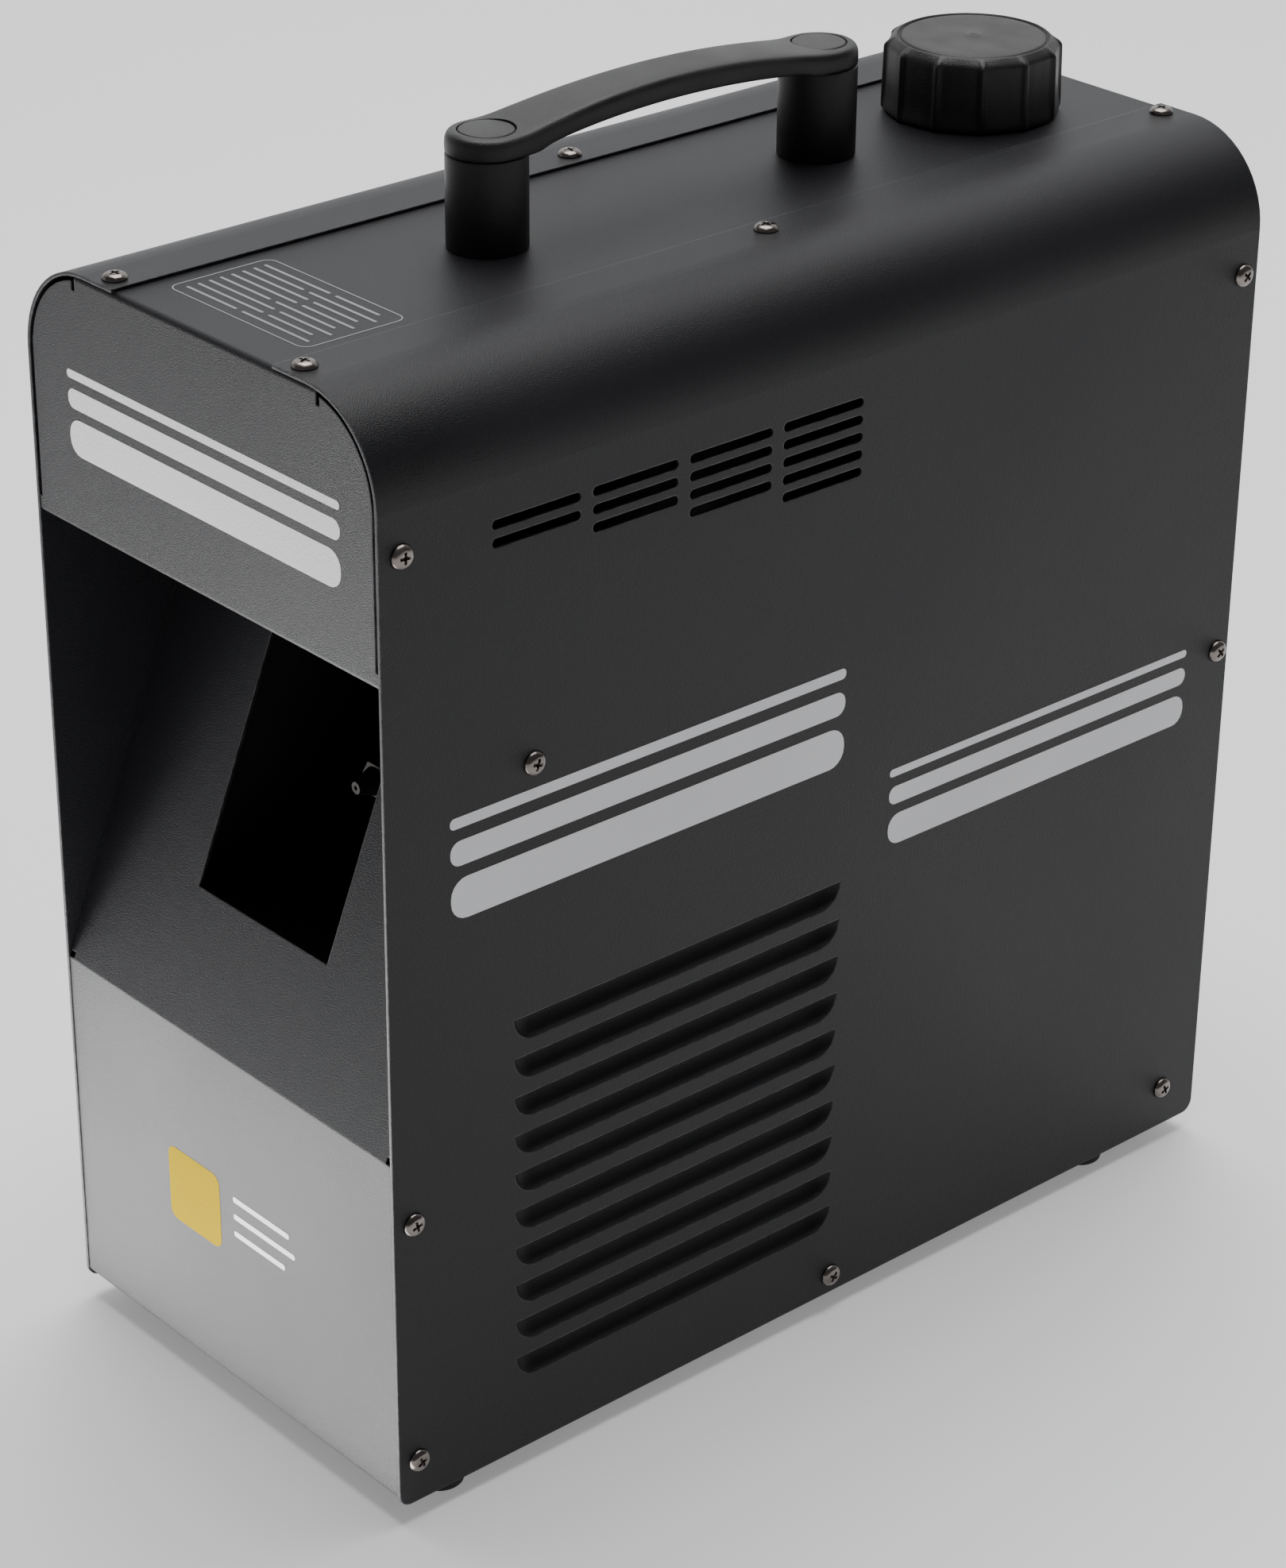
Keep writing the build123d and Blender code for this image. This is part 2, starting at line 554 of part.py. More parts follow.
# ---- Outlet ----
def outlet_duct():
    """The square duct behind the slope that carries the fan's air past the nozzle."""
    x = DUCT_W / 2
    z0, z1 = DUCT_ZS
    near = SHEET / sin(radians(SLOPE_DEG)) + 0.2
    outline = ((slope_y(z0) + near, z0), (slope_y(z1) + near, z1), (DUCT_BACK_Y, z1), (DUCT_BACK_Y, z0))
    w = DUCT_WALL
    hollow = (
        (slope_y(z0 + w) - 9, z0 + w),
        (slope_y(z1 - w) - 9, z1 - w),
        (DUCT_BACK_Y - w, z1 - w),
        (DUCT_BACK_Y - w, z0 + w),
    )
    duct = prism_x(outline, (-x, x)) - prism_x(hollow, (w - x, x - w))
    duct -= rod_y(0, FAN_Z, (DUCT_BACK_Y - 3, DUCT_BACK_Y + 2), FAN_BORE_R)
    duct -= fan_screw_rods(SCREW_R + 0.1)
    return duct - rod_z(PIPE_X, NOZZLE_Y, (z0 - 2, z0 + 3), STEAM_PIPE_R + 1)


def fan_screw_rods(radius):
    """Rods at the fan's four corners."""
    s = FAN_SIDE / 2 - FAN_SCREW_IN
    ys = (DUCT_BACK_Y - 4, DUCT_BACK_Y + FAN_DEEP + 2)
    return [rod_y(x, FAN_Z + z, ys, radius) for x in (-s, s) for z in (-s, s)]


def fan_frame():
    """The square frame of the duct fan, with its motor boss on three spokes."""
    ys = (DUCT_BACK_Y, DUCT_BACK_Y + FAN_DEEP)
    s = FAN_SIDE / 2
    frame = block((-s, s), ys, (FAN_Z - s, FAN_Z + s))
    frame = fillet(frame.edges().filter_by(Axis.Y), 5)
    frame -= rod_y(0, FAN_Z, (ys[0] - 1, ys[1] + 1), FAN_BORE_R)
    boss_ys = (ys[1] - 3, ys[1])
    frame += rod_y(0, FAN_Z, boss_ys, HUB_R)
    centre = Pos(0, sum(boss_ys) / 2, FAN_Z)
    spoke = Pos(28, 0, 0) * Box(24, 3, 4)
    frame += [centre * Rot(0, 120 * index + 30, 0) * spoke for index in range(3)]
    frame -= rod_y(0, FAN_Z, (ys[0], ys[1] - 1), 1.55)
    return frame - fan_screw_rods(SCREW_R + 0.1)


def fan_rotor():
    """Hub, blades and shaft of the fan."""
    ys = (DUCT_BACK_Y + 2, DUCT_BACK_Y + FAN_DEEP - 4)
    rotor = rod_y(0, FAN_Z, ys, HUB_R) + rod_y(0, FAN_Z, (ys[0] + 2, DUCT_BACK_Y + FAN_DEEP - 1.2), 1.5)
    middle_y = sum(ys) / 2
    length = ROTOR_R - HUB_R + 2
    for index in range(BLADES):
        blade = Pos(HUB_R - 2 + length / 2, 0, 0) * Rot(38, 0, 0) * Box(length, 1.4, 22)
        rotor += Pos(0, middle_y, FAN_Z) * Rot(0, 360 / BLADES * index, 0) * blade
    limit = rod_y(0, FAN_Z, (ys[0], DUCT_BACK_Y + FAN_DEEP - 1.2), ROTOR_R)
    return rotor & limit


def fan_screws():
    """Four screws that hold the fan to the back of the duct."""
    s = FAN_SIDE / 2 - FAN_SCREW_IN
    screw = rod_y(0, 0, (DUCT_BACK_Y - 5, DUCT_BACK_Y + FAN_DEEP), SCREW_R)
    screw += rod_y(0, 0, (DUCT_BACK_Y + FAN_DEEP, DUCT_BACK_Y + FAN_DEEP + 2.2), 3.8)
    return group(Pos(x, 0, FAN_Z + z) * screw for x in (-s, s) for z in (-s, s))


# ---- Heater ----
def heater_half(side):
    """One half of the heater block: side is 1 for the upper half and -1 for the lower."""
    zs = sorted((HEATER_Z, HEATER_Z + side * HEATER_HALF_TALL))
    half = block((-HEATER_W / 2, HEATER_W / 2), HEATER_YS, zs)
    half = fillet(half.edges().filter_by(Axis.Y).group_by(Axis.Z)[-1 if side > 0 else 0], 6)
    tunnels = [rod_y(x, HEATER_Z, (HEATER_YS[0] - 1, HEATER_YS[1] + 1), ELEMENT_R) for x in ELEMENT_XS]
    tunnels.append(rod_y(PIPE_X, HEATER_Z, (HEATER_YS[0] - 1, HEATER_YS[1] + 1), STEAM_PIPE_R))
    reach = (HEATER_Z - 30, HEATER_Z + 30)
    tunnels += [rod_z(HEATER_BOLT_X, y, reach, 2.6) for y in HEATER_BOLT_YS]
    return half - tunnels


def heater_elements():
    """Two rod heaters clamped between the halves."""
    ys = (HEATER_YS[0] - 8, HEATER_YS[1] + 4)
    return group(rod_y(x, HEATER_Z, ys, ELEMENT_R) for x in ELEMENT_XS)


def heater_bolts():
    """Three bolts that clamp the halves of the heater together."""
    high = HEATER_Z + HEATER_HALF_TALL
    low = HEATER_Z - HEATER_HALF_TALL
    bolt = rod_z(HEATER_BOLT_X, 0, (low - 1, high), 2.5) + rod_z(HEATER_BOLT_X, 0, (high, high + 4), 4.5)
    return group(Pos(0, y, 0) * bolt for y in HEATER_BOLT_YS)


def tube_along(points, radius, bends):
    """A round tube or rod along straight runs joined by arcs."""
    path = FilletPolyline(*points, radius=bends)
    section = Plane(origin=path @ 0, z_dir=path % 0) * Circle(radius)
    return sweep(section, path=path)


def steam_pipe():
    """The steel pipe through the heater and up into the duct, where the nozzle screws on to it."""
    front = HEATER_YS[0] - 16
    level = HEATER_Z + 62
    points = (
        (PIPE_X, HEATER_YS[1] + 14, HEATER_Z),
        (PIPE_X, front, HEATER_Z),
        (PIPE_X, front, level),
        (PIPE_X, NOZZLE_Y, level),
        (PIPE_X, NOZZLE_Y, NOZZLE_Z),
        (PIPE_X, NOZZLE_Y - 22, NOZZLE_Z),
    )
    return tube_along(points, STEAM_PIPE_R, 9)


def nozzle():
    """The brass nozzle on the end of the pipe, aimed out of the slope."""
    back = NOZZLE_Y - 22
    hexagon = Pos(PIPE_X, back, NOZZLE_Z) * Rot(90, 0, 0) * extrude(RegularPolygon(7, 6), 8)
    tip = Pos(PIPE_X, back - 12, NOZZLE_Z) * Rot(90, 0, 0) * Cone(5.2, 2.2, 8)
    return hexagon + tip - rod_y(PIPE_X, NOZZLE_Z, (back - 20, back + 1), 0.8)


def heater_wool():
    """The ceramic blanket wrapped round the heater block."""
    x = HEATER_W / 2 + WOOL
    z = HEATER_HALF_TALL + WOOL
    outer = block((-x, x), HEATER_YS, (HEATER_Z - z, HEATER_Z + z))
    inner_x = HEATER_W / 2 + 0.3
    inner_z = HEATER_HALF_TALL + 0.3
    ys = (HEATER_YS[0] - 1, HEATER_YS[1] + 1)
    inner = block((-inner_x, inner_x), ys, (HEATER_Z - inner_z, HEATER_Z + inner_z))
    reach = (HEATER_Z - z - 1, HEATER_Z + z + 1)
    holes = [rod_z(HEATER_BOLT_X, y, reach, 5.5) for y in HEATER_BOLT_YS]
    holes += [rod_z(leg_x, y, (reach[0], HEATER_Z), 4.6) for leg_x, y in heater_legs()]
    return fillet(outer.edges().filter_by(Axis.Y), 10) - inner - holes


def heater_legs():
    """(x, y) of the four pillars under the heater."""
    return [(x, y) for x in (-30, 30) for y in (HEATER_YS[0] + 14, HEATER_YS[1] - 14)]


def heater_pillars():
    """Four steel pillars that hold the heater off the floor."""
    top = HEATER_Z - HEATER_HALF_TALL
    return group(rod_z(x, y, (FLOOR_TOP_Z, top), 4.0) for x, y in heater_legs())


def heater_hood():
    """The bright sheet hood over the blanket."""
    x = HEATER_W / 2 + WOOL + 1.2
    z = HEATER_HALF_TALL + WOOL + 1.2
    ys = HEATER_YS
    outer = block((-x, x), ys, (HEATER_Z - z, HEATER_Z + z))
    outer = fillet(outer.edges().filter_by(Axis.Y), 11)
    inner = block((1 - x, x - 1), (ys[0] - 1, ys[1] + 1), (HEATER_Z - z - 2, HEATER_Z + z - 1))
    inner = fillet(inner.edges().filter_by(Axis.Y).group_by(Axis.Z)[-1], 10)
    return outer - inner


def thermal_cutout():
    """The round safety thermostat on the front end of the heater."""
    y = HEATER_YS[0]
    disc = rod_y(-2, HEATER_Z + 10, (y - 5, y), 8) + rod_y(-2, HEATER_Z + 10, (y - 11, y - 5), 6)
    tabs = block((-9, -6), (y - 17, y - 11), (HEATER_Z + 9.6, HEATER_Z + 10.4))
    return disc + tabs + Pos(11, 0, 0) * tabs


# ---- Pump ----
def pump_barrel():
    """The upright barrel in which the plunger works, with a hose spigot at each end."""
    low, high = PUMP_LOW_Z - 12, PUMP_LOW_Z + PUMP_TALL + 14
    barrel = rod_z(PUMP_X, PUMP_Y, (low, high), BARREL_R)
    barrel += rod_z(PUMP_X, PUMP_Y, (low - 12, low), 3) + rod_z(PUMP_X, PUMP_Y, (high, high + 12), 3)
    barrel -= rod_z(PUMP_X, PUMP_Y, (low + 2, high - 2), PLUNGER_R + 0.05)
    return barrel - rod_z(PUMP_X, PUMP_Y, (low - 14, high + 14), 1.5)


def pump_plunger():
    """The steel plunger that the coil shakes up and down."""
    low, high = plunger_zs()
    plunger = rod_z(PUMP_X, PUMP_Y, (low, high), PLUNGER_R)
    return plunger - rod_z(PUMP_X, PUMP_Y, (low - 1, high + 1), 1.5)


def plunger_zs():
    """Ends of the plunger at rest, held up by its spring against the top of the barrel."""
    high = PUMP_LOW_Z + PUMP_TALL + 14 - 2 - 0.4
    return high - 38, high


def pump_spring():
    """The spring under the plunger."""
    low = PUMP_LOW_Z - 12 + 2.1
    height = plunger_zs()[0] - 0.1 - low
    wire = 0.7
    path = Helix(pitch=(height - 2 * wire) / 5, height=height - 2 * wire, radius=4.4)
    section = Plane(origin=path @ 0, z_dir=path % 0) * Circle(wire)
    return Pos(PUMP_X, PUMP_Y, low + wire) * sweep(section, path=path)


def pump_coil():
    """The coil round the barrel."""
    zs = (PUMP_LOW_Z + 4, PUMP_LOW_Z + PUMP_TALL - 4)
    coil = ring_z(PUMP_X, PUMP_Y, zs, PUMP_SIDE / 2 - 1, BARREL_R + 0.1)
    tabs = block((PUMP_X - 24.5, PUMP_X - 17), (PUMP_Y - 4, PUMP_Y + 4), (zs[1] - 8, zs[1] - 4))
    return coil + tabs


def pump_yoke():
    """The steel loop that closes the magnetic path round the coil."""
    s = PUMP_SIDE / 2
    xs, ys = (PUMP_X - s, PUMP_X + s), (PUMP_Y - s + 6, PUMP_Y + s - 6)
    zs = (PUMP_LOW_Z, PUMP_LOW_Z + PUMP_TALL)
    loop = block((xs[0] - 8, xs[1] + 3), ys, zs)
    loop -= block((xs[0] - 5, xs[1]), (ys[0] - 1, ys[1] + 1), (zs[0] + 3, zs[1] - 3))
    return loop - rod_z(PUMP_X, PUMP_Y, (zs[0] - 1, zs[1] + 1), BARREL_R + 0.1)


def pump_mounts():
    """Two rubber blocks that carry the pump and keep its hum out of the case."""
    zs = (FLOOR_TOP_Z, PUMP_LOW_Z)
    return group(rod_z(PUMP_X + dx, PUMP_Y, zs, 5.5) for dx in (-19, 17))


def suction_hose():
    """The soft hose from the tank's spout down to the pump's lower spigot."""
    spigot_z = PUMP_LOW_Z - 24
    points = (
        (PUMP_X, SPOUT_Y, TANK_ZS[0] - 10),
        (PUMP_X, SPOUT_Y, spigot_z - 2),
        (PUMP_X, PUMP_Y + 3, spigot_z - 2),
    )
    return tube_along(points, 4.0, 20) - tube_along(points, 2.5, 20)


def hose_top_z():
    """Height of the level run of the pressure hose, which is also where it passes the partition."""
    return PUMP_LOW_Z + PUMP_TALL + 50


def pressure_hose():
    """The thin hose from the pump's upper spigot through the partition to the heater's pipe."""
    z = hose_top_z()
    points = (
        (PUMP_X, PUMP_Y, z - 24),
        (PUMP_X, PUMP_Y, z),
        (PIPE_X, PUMP_Y, z),
        (PIPE_X, 6, z),
        (PIPE_X, 6, HEATER_Z),
        (PIPE_X, HEATER_YS[1] + 14, HEATER_Z),
    )
    bends = (10, 10, 10, 5)
    return tube_along(points, 3.6, bends) - tube_along(points, 2.0, bends)


# ---- Boards and controls ----
def control_board():
    """The main circuit board, upright behind the partition, with its large parts."""
    x0, x1 = BOARD_XS
    z0, z1 = BOARD_ZS
    back, face = BOARD_Y, BOARD_Y + 1.6
    board = block((x0, x1), (back, face), (z0, z1))
    transformer = block((x0 + 12, x0 + 44), (face, face + 26), (z0 + 10, z0 + 38))
    relay = block((x0 + 56, x0 + 76), (face, face + 16), (z0 + 10, z0 + 38))
    capacitors = [rod_y(x0 + 16 + 18 * n, z0 + 62, (face, face + 20), 6) for n in range(3)]
    sink_zs = (z0 + 52, z0 + 92)
    heat_sink = block((x0 + 62, x0 + 86), (face, face + 4), sink_zs)
    fins = [block((x0 + 62 + 5.5 * n, x0 + 64 + 5.5 * n), (face + 3, face + 18), sink_zs) for n in range(5)]
    terminals = block((x0 + 8, x0 + 80), (face, face + 12), (z1 - 16, z1 - 6))
    return board + transformer + relay + capacitors + heat_sink + fins + terminals


def board_spacers():
    """Four pillars that hold the board off the partition."""
    ys = (PARTITION_Y + SHEET, BOARD_Y)
    xs = (BOARD_XS[0] + 5, BOARD_XS[1] - 5)
    zs = (BOARD_ZS[0] + 4, BOARD_ZS[1] - 4)
    return group(rod_y(x, z, ys, 3) for x in xs for z in zs)


def screen_block(gap, deep):
    """The window of the screen in the rear panel."""
    ys = (REAR_PLATE_Y - deep, REAR_PLATE_Y + 1.0)
    xs = (SCREEN_X - 31 - gap, SCREEN_X + 31 + gap)
    return block(xs, ys, (SCREEN_Z - 12 - gap, SCREEN_Z + 12 + gap))


def control_screen():
    """The display in the panel's window, on one board that also carries the key switches."""
    y = REAR_PLATE_Y - 8.6
    board = block((SCREEN_X - 38, KEY_XS[-1] + 8), (y - 1.6, y), (SCREEN_Z - 14, SCREEN_Z + 14))
    switches = [rod_y(x, KEY_Z, (y, y + 1.8), 1.7) for x in KEY_XS]
    return screen_block(-0.05, 9) + board + switches


def control_key(x):
    """One round push key that stands out of the rear panel."""
    key = rod_y(x, KEY_Z, (REAR_PLATE_Y - 5, REAR_PLATE_Y + 2.4), KEY_R)
    return key + rod_y(x, KEY_Z, (REAR_PLATE_Y - 5, REAR_PLATE_Y - 3.6), KEY_R + 1.4)


def dmx_socket(x, pins):
    """A three-pole round data connector on a flange. The inlet has pins and the outlet has holes."""
    y = REAR_PLATE_Y
    flange = block((x - 13, x + 13), (y, y + 2), (DMX_Z - 15.5, DMX_Z + 15.5))
    flange = fillet(flange.edges().filter_by(Axis.Y), 3)
    shell = rod_y(x, DMX_Z, (y - 22, y), 11.8) + flange
    if pins:
        return shell - rod_y(x, DMX_Z, (y - 16, y + 3), 9.6)
    shell -= rod_y(x, DMX_Z, (y - 12, y + 3), 9.6) - rod_y(x, DMX_Z, (y - 13, y + 1.5), 7.9)
    poles = [rod_y(x + dx, DMX_Z + dz, (y - 10, y + 4), 1.3) for dx, dz in pole_places()]
    slot = block((x - 3.1, x + 3.1), (y - 12, y + 3), (DMX_Z + 7.5, DMX_Z + 11.1))
    return shell - poles - slot


def pole_places():
    """Offsets of the three poles of a data connector from its centre."""
    return ((-4.0, 1.5), (4.0, 1.5), (0.0, -4.0))


def dmx_latch():
    """The push tab that frees a plug from the data outlet."""
    y = REAR_PLATE_Y
    return block((DMX_XS[1] - 3.0, DMX_XS[1] + 3.0), (y - 8, y + 4.2), (DMX_Z + 7.6, DMX_Z + 11.0))


def inlet_block(gap):
    """The opening for the mains inlet in the rear panel."""
    xs = (INLET_X - 13.8 - gap, INLET_X + 13.8 + gap)
    return block(xs, (REAR_PLATE_Y - 4, REAR_PLATE_Y + 1), (MAINS_Z - 10 - gap, MAINS_Z + 10 + gap))


def mains_inlet():
    """The three-pole mains inlet: a flanged socket with a deep well."""
    y = REAR_PLATE_Y
    flange = block((INLET_X - 25, INLET_X + 25), (y, y + 3), (MAINS_Z - 12.2, MAINS_Z + 12.2))
    flange = fillet(flange.edges().filter_by(Axis.Y), 5)
    body = block((INLET_X - 13.8, INLET_X + 13.8), (y - 20, y + 1), (MAINS_Z - 10, MAINS_Z + 10))
    well = block((INLET_X - 12.2, INLET_X + 12.2), (y - 16.5, y + 4), (MAINS_Z - 8.2, MAINS_Z + 8.2))
    well = chamfer(well.edges().filter_by(Axis.Y).group_by(Axis.Z)[-1], 5)
    holes = [rod_y(INLET_X + dx, MAINS_Z, (y - 1, y + 4), 1.8) for dx in (-20, 20)]
    return flange + body - well - holes


def socket_pins():
    """The metal contacts: three round pins of the data inlet and three flat blades of the mains inlet."""
    y = REAR_PLATE_Y
    pins = [rod_y(DMX_XS[0] + dx, DMX_Z + dz, (y - 16, y - 4), 1.1) for dx, dz in pole_places()]
    for dx, dz in ((0, 3.0), (-7, -2.0), (7, -2.0)):
        x, z = INLET_X + dx, MAINS_Z + dz
        pins.append(block((x - 1, x + 1), (y - 16.5, y - 3), (z - 2, z + 2)))
    return group(pins)


def panel_screws():
    """Countersunk screws of the mains inlet and pan screws of the two data connectors."""
    y = REAR_PLATE_Y
    places = [(INLET_X + dx, MAINS_Z, y + 3) for dx in (-20, 20)]
    places += [(x + dx, DMX_Z + dz, y + 2) for x in DMX_XS for dx, dz in ((-9.8, 12.4), (9.8, -12.4))]
    return group(rod_y(x, z, (face, face + 1.4), 2.8) for x, z, face in places)


def switch_block(gap):
    """The opening for the mains switch in the rear panel."""
    xs = (SWITCH_X - 6.5 - gap, SWITCH_X + 6.5 + gap)
    return block(xs, (REAR_PLATE_Y - 4, REAR_PLATE_Y + 1), (MAINS_Z - 9.5 - gap, MAINS_Z + 9.5 + gap))


def power_switch():
    """The housing of the mains switch, which snaps into the rear panel."""
    y = REAR_PLATE_Y
    rim = block((SWITCH_X - 7.5, SWITCH_X + 7.5), (y, y + 1.8), (MAINS_Z - 10.5, MAINS_Z + 10.5))
    rim = fillet(rim.edges().filter_by(Axis.Y), 1.2)
    body = block((SWITCH_X - 6.5, SWITCH_X + 6.5), (y - 16, y + 1), (MAINS_Z - 9.5, MAINS_Z + 9.5))
    well = block((SWITCH_X - 5.2, SWITCH_X + 5.2), (y - 9, y + 3), (MAINS_Z - 8.6, MAINS_Z + 8.6))
    return rim + body - well


def switch_rocker():
    """The rocker of the mains switch, at rest with its lower end pressed in."""
    pivot_y = REAR_PLATE_Y + SWITCH_PIVOT
    dished = ThreePointArc((4.2, -7.4), (3.0, 0), (4.2, 7.4))
    flanks = Polyline((4.2, 7.4), (0.0, 7.6), (-3.2, 3.0), (-3.2, -3.0), (0.0, -7.6), (4.2, -7.4))
    rocker = extrude(Plane.YZ * make_face(dished + flanks), 4.9, both=True)
    return Pos(SWITCH_X, pivot_y, MAINS_Z) * Rot(-SWITCH_TILT, 0, 0) * rocker


def fuse_holder():
    """The panel fuse holder."""
    y = REAR_PLATE_Y
    body = rod_y(FUSE_X, MAINS_Z, (y - 30, y + 1), 6.4) + rod_y(FUSE_X, MAINS_Z, (y, y + 2.6), 8.5)
    return body - rod_y(FUSE_X, MAINS_Z, (y - 28, y + 3), 4.4)


def fuse_cap():
    """The bayonet cap of the fuse holder, with a coin slot."""
    y = REAR_PLATE_Y
    cap = rod_y(FUSE_X, MAINS_Z, (y + 2.65, y + 7.5), 6.6) + rod_y(FUSE_X, MAINS_Z, (y - 4, y + 3), 4.3)
    return cap - block((FUSE_X - 7, FUSE_X + 7), (y + 6, y + 8), (MAINS_Z - 0.7, MAINS_Z + 0.7))


def fuse_link():
    """The glass fuse that the cap carries."""
    y = REAR_PLATE_Y
    return rod_y(FUSE_X, MAINS_Z, (y - 24, y - 4), 2.6)


PARTS = {
    "floor_pan": floor_pan,
    "front_panel": front_panel,
    "top_panel": top_panel,
    "rear_panel": rear_panel,
    "left_cover": left_cover,
    "right_cover": right_cover,
    "partition": partition,
    "tank_shelf": tank_shelf,
    "rubber_feet": rubber_feet,
    "foot_screws": foot_screws,
    "cover_screws": cover_screws,
    "handle_posts": handle_posts,
    "handle_grip": handle_grip,
    "handle_plugs": handle_plugs,
    "handle_bolts": handle_bolts,
    "handle_stay": handle_stay,
    "fluid_tank": fluid_tank,
    "tank_neck": tank_neck,
    "tank_cap": tank_cap,
    "cap_seal": cap_seal,
    "outlet_duct": outlet_duct,
    "fan_frame": fan_frame,
    "fan_rotor": fan_rotor,
    "fan_screws": fan_screws,
    "heater_lower": lambda: heater_half(-1),
    "heater_upper": lambda: heater_half(1),
    "heater_elements": heater_elements,
    "heater_bolts": heater_bolts,
    "steam_pipe": steam_pipe,
    "nozzle": nozzle,
    "heater_wool": heater_wool,
    "heater_pillars": heater_pillars,
    "heater_hood": heater_hood,
    "thermal_cutout": thermal_cutout,
    "pump_barrel": pump_barrel,
    "pump_plunger": pump_plunger,
    "pump_spring": pump_spring,
    "pump_coil": pump_coil,
    "pump_yoke": pump_yoke,
    "pump_mounts": pump_mounts,
    "suction_hose": suction_hose,
    "pressure_hose": pressure_hose,
    "control_board": control_board,
    "board_spacers": board_spacers,
    "control_screen": control_screen,
    "key_menu": lambda: control_key(KEY_XS[0]),
    "key_down": lambda: control_key(KEY_XS[1]),
    "key_up": lambda: control_key(KEY_XS[2]),
    "key_enter": lambda: control_key(KEY_XS[3]),
    "dmx_in": lambda: dmx_socket(DMX_XS[0], True),
    "socket_pins": socket_pins,
    "dmx_out": lambda: dmx_socket(DMX_XS[1], False),
    "dmx_latch": dmx_latch,
    "mains_inlet": mains_inlet,
    "panel_screws": panel_screws,
    "power_switch": power_switch,
    "switch_rocker": switch_rocker,
    "fuse_holder": fuse_holder,
    "fuse_cap": fuse_cap,
    "fuse_link": fuse_link,
}


def main():
    os.makedirs("parts", exist_ok=True)
    for name, make in PARTS.items():
        export_step(make(), f"parts/{name}.step")
        print(name)


main()
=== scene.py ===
# %% [markdown]
# # A portable fog machine
#
# The machine is a folded steel case, 186 by 398 by 400 mm, with a leaning outlet in its front, vents in its
# sides, a handle and a filler cap on top, and its controls at the back. The exact parts come from a packed
# CAD model, which is the fixed frame here. This lesson gives them their finishes, and builds again in
# Blender the pieces whose looks need softer shapes, or that change shape as they move: the grip, the posts,
# the cap, the screws, the feet and the pump's spring.

# %% Load the frame
from math import cos, pi, radians, sin

import bmesh
import bpy
from mathutils import Matrix, Quaternion, Vector


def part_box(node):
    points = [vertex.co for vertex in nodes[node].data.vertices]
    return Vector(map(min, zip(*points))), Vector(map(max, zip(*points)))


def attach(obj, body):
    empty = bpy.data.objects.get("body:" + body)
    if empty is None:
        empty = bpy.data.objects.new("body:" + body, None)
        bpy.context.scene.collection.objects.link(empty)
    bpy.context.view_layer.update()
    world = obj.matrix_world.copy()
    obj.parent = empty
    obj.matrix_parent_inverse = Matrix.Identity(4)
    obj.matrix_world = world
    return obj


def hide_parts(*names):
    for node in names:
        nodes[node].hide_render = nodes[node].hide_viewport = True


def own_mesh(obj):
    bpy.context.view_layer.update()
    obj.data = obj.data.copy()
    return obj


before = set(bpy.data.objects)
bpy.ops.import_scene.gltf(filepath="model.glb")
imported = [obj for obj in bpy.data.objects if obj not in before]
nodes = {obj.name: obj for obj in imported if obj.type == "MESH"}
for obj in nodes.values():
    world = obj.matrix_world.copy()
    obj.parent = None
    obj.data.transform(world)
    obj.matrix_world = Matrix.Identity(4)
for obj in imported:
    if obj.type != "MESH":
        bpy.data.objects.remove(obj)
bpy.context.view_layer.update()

# %% [markdown]
# ## Camera and studio
#
# The camera stands to the right of the front and looks down at the case, from about a metre and a half away,
# with a long lens so that the case's edges stay nearly parallel. It is placed first, because every finish is
# judged from here. Black paint shows little of its own colour and mostly shows what it reflects, so the sky
# shapes it: dim almost all round, and rising softly to a bright screen behind the case on its left, which the
# top face mirrors. A big lamp overhead lights the floor. Two low panels lie on the floor in front, out of the
# camera's sight, where the upright front plates mirror them.

# %% Camera
AZIMUTH = radians(48.48)
ELEVATION = radians(27.28)
ROLL = radians(0.48)
LENS = 95.4
SENSOR = 36.0
RISE = 0.007
camera_data = bpy.data.cameras.new("camera")
camera_data.lens = LENS
camera_data.sensor_width = SENSOR
camera_data.shift_y = RISE
camera = bpy.data.objects.new("camera", camera_data)
bpy.context.scene.collection.objects.link(camera)
bpy.context.scene.camera = camera
towards_camera = Vector((
    sin(AZIMUTH) * cos(ELEVATION),
    -cos(AZIMUTH) * cos(ELEVATION),
    sin(ELEVATION),
))
camera.rotation_mode = "QUATERNION"
camera.rotation_quaternion = (-towards_camera).to_track_quat("-Z", "Y") @ Quaternion((0, 0, 1), ROLL)
camera.location = (1.0015, -0.8961, 0.8707)
print("camera at", tuple(camera.location), "lens", camera_data.lens)

# %% Sky of the studio
SCREEN_WAY = (-0.70, 0.60, 0.38)
SCREEN_EDGE, SCREEN_HEART = 0.35, 0.95
SKY_DIM, SKY_BRIGHT = 0.12, 1.08
world = bpy.data.worlds.new("studio")
bpy.context.scene.world = world
world.use_nodes = True
sky = world.node_tree
background = sky.nodes["Background"]
ways = sky.nodes.new("ShaderNodeTexCoord")
facing = sky.nodes.new("ShaderNodeVectorMath")
facing.operation = "DOT_PRODUCT"
facing.inputs[1].default_value = SCREEN_WAY
sky.links.new(ways.outputs["Generated"], facing.inputs[0])
screen = sky.nodes.new("ShaderNodeMapRange")
screen.interpolation_type = "SMOOTHSTEP"
screen.inputs["From Min"].default_value = SCREEN_EDGE
screen.inputs["From Max"].default_value = SCREEN_HEART
screen.inputs["To Min"].default_value = SKY_DIM
screen.inputs["To Max"].default_value = SKY_BRIGHT
sky.links.new(facing.outputs["Value"], screen.inputs["Value"])
sky.links.new(screen.outputs["Result"], background.inputs["Strength"])
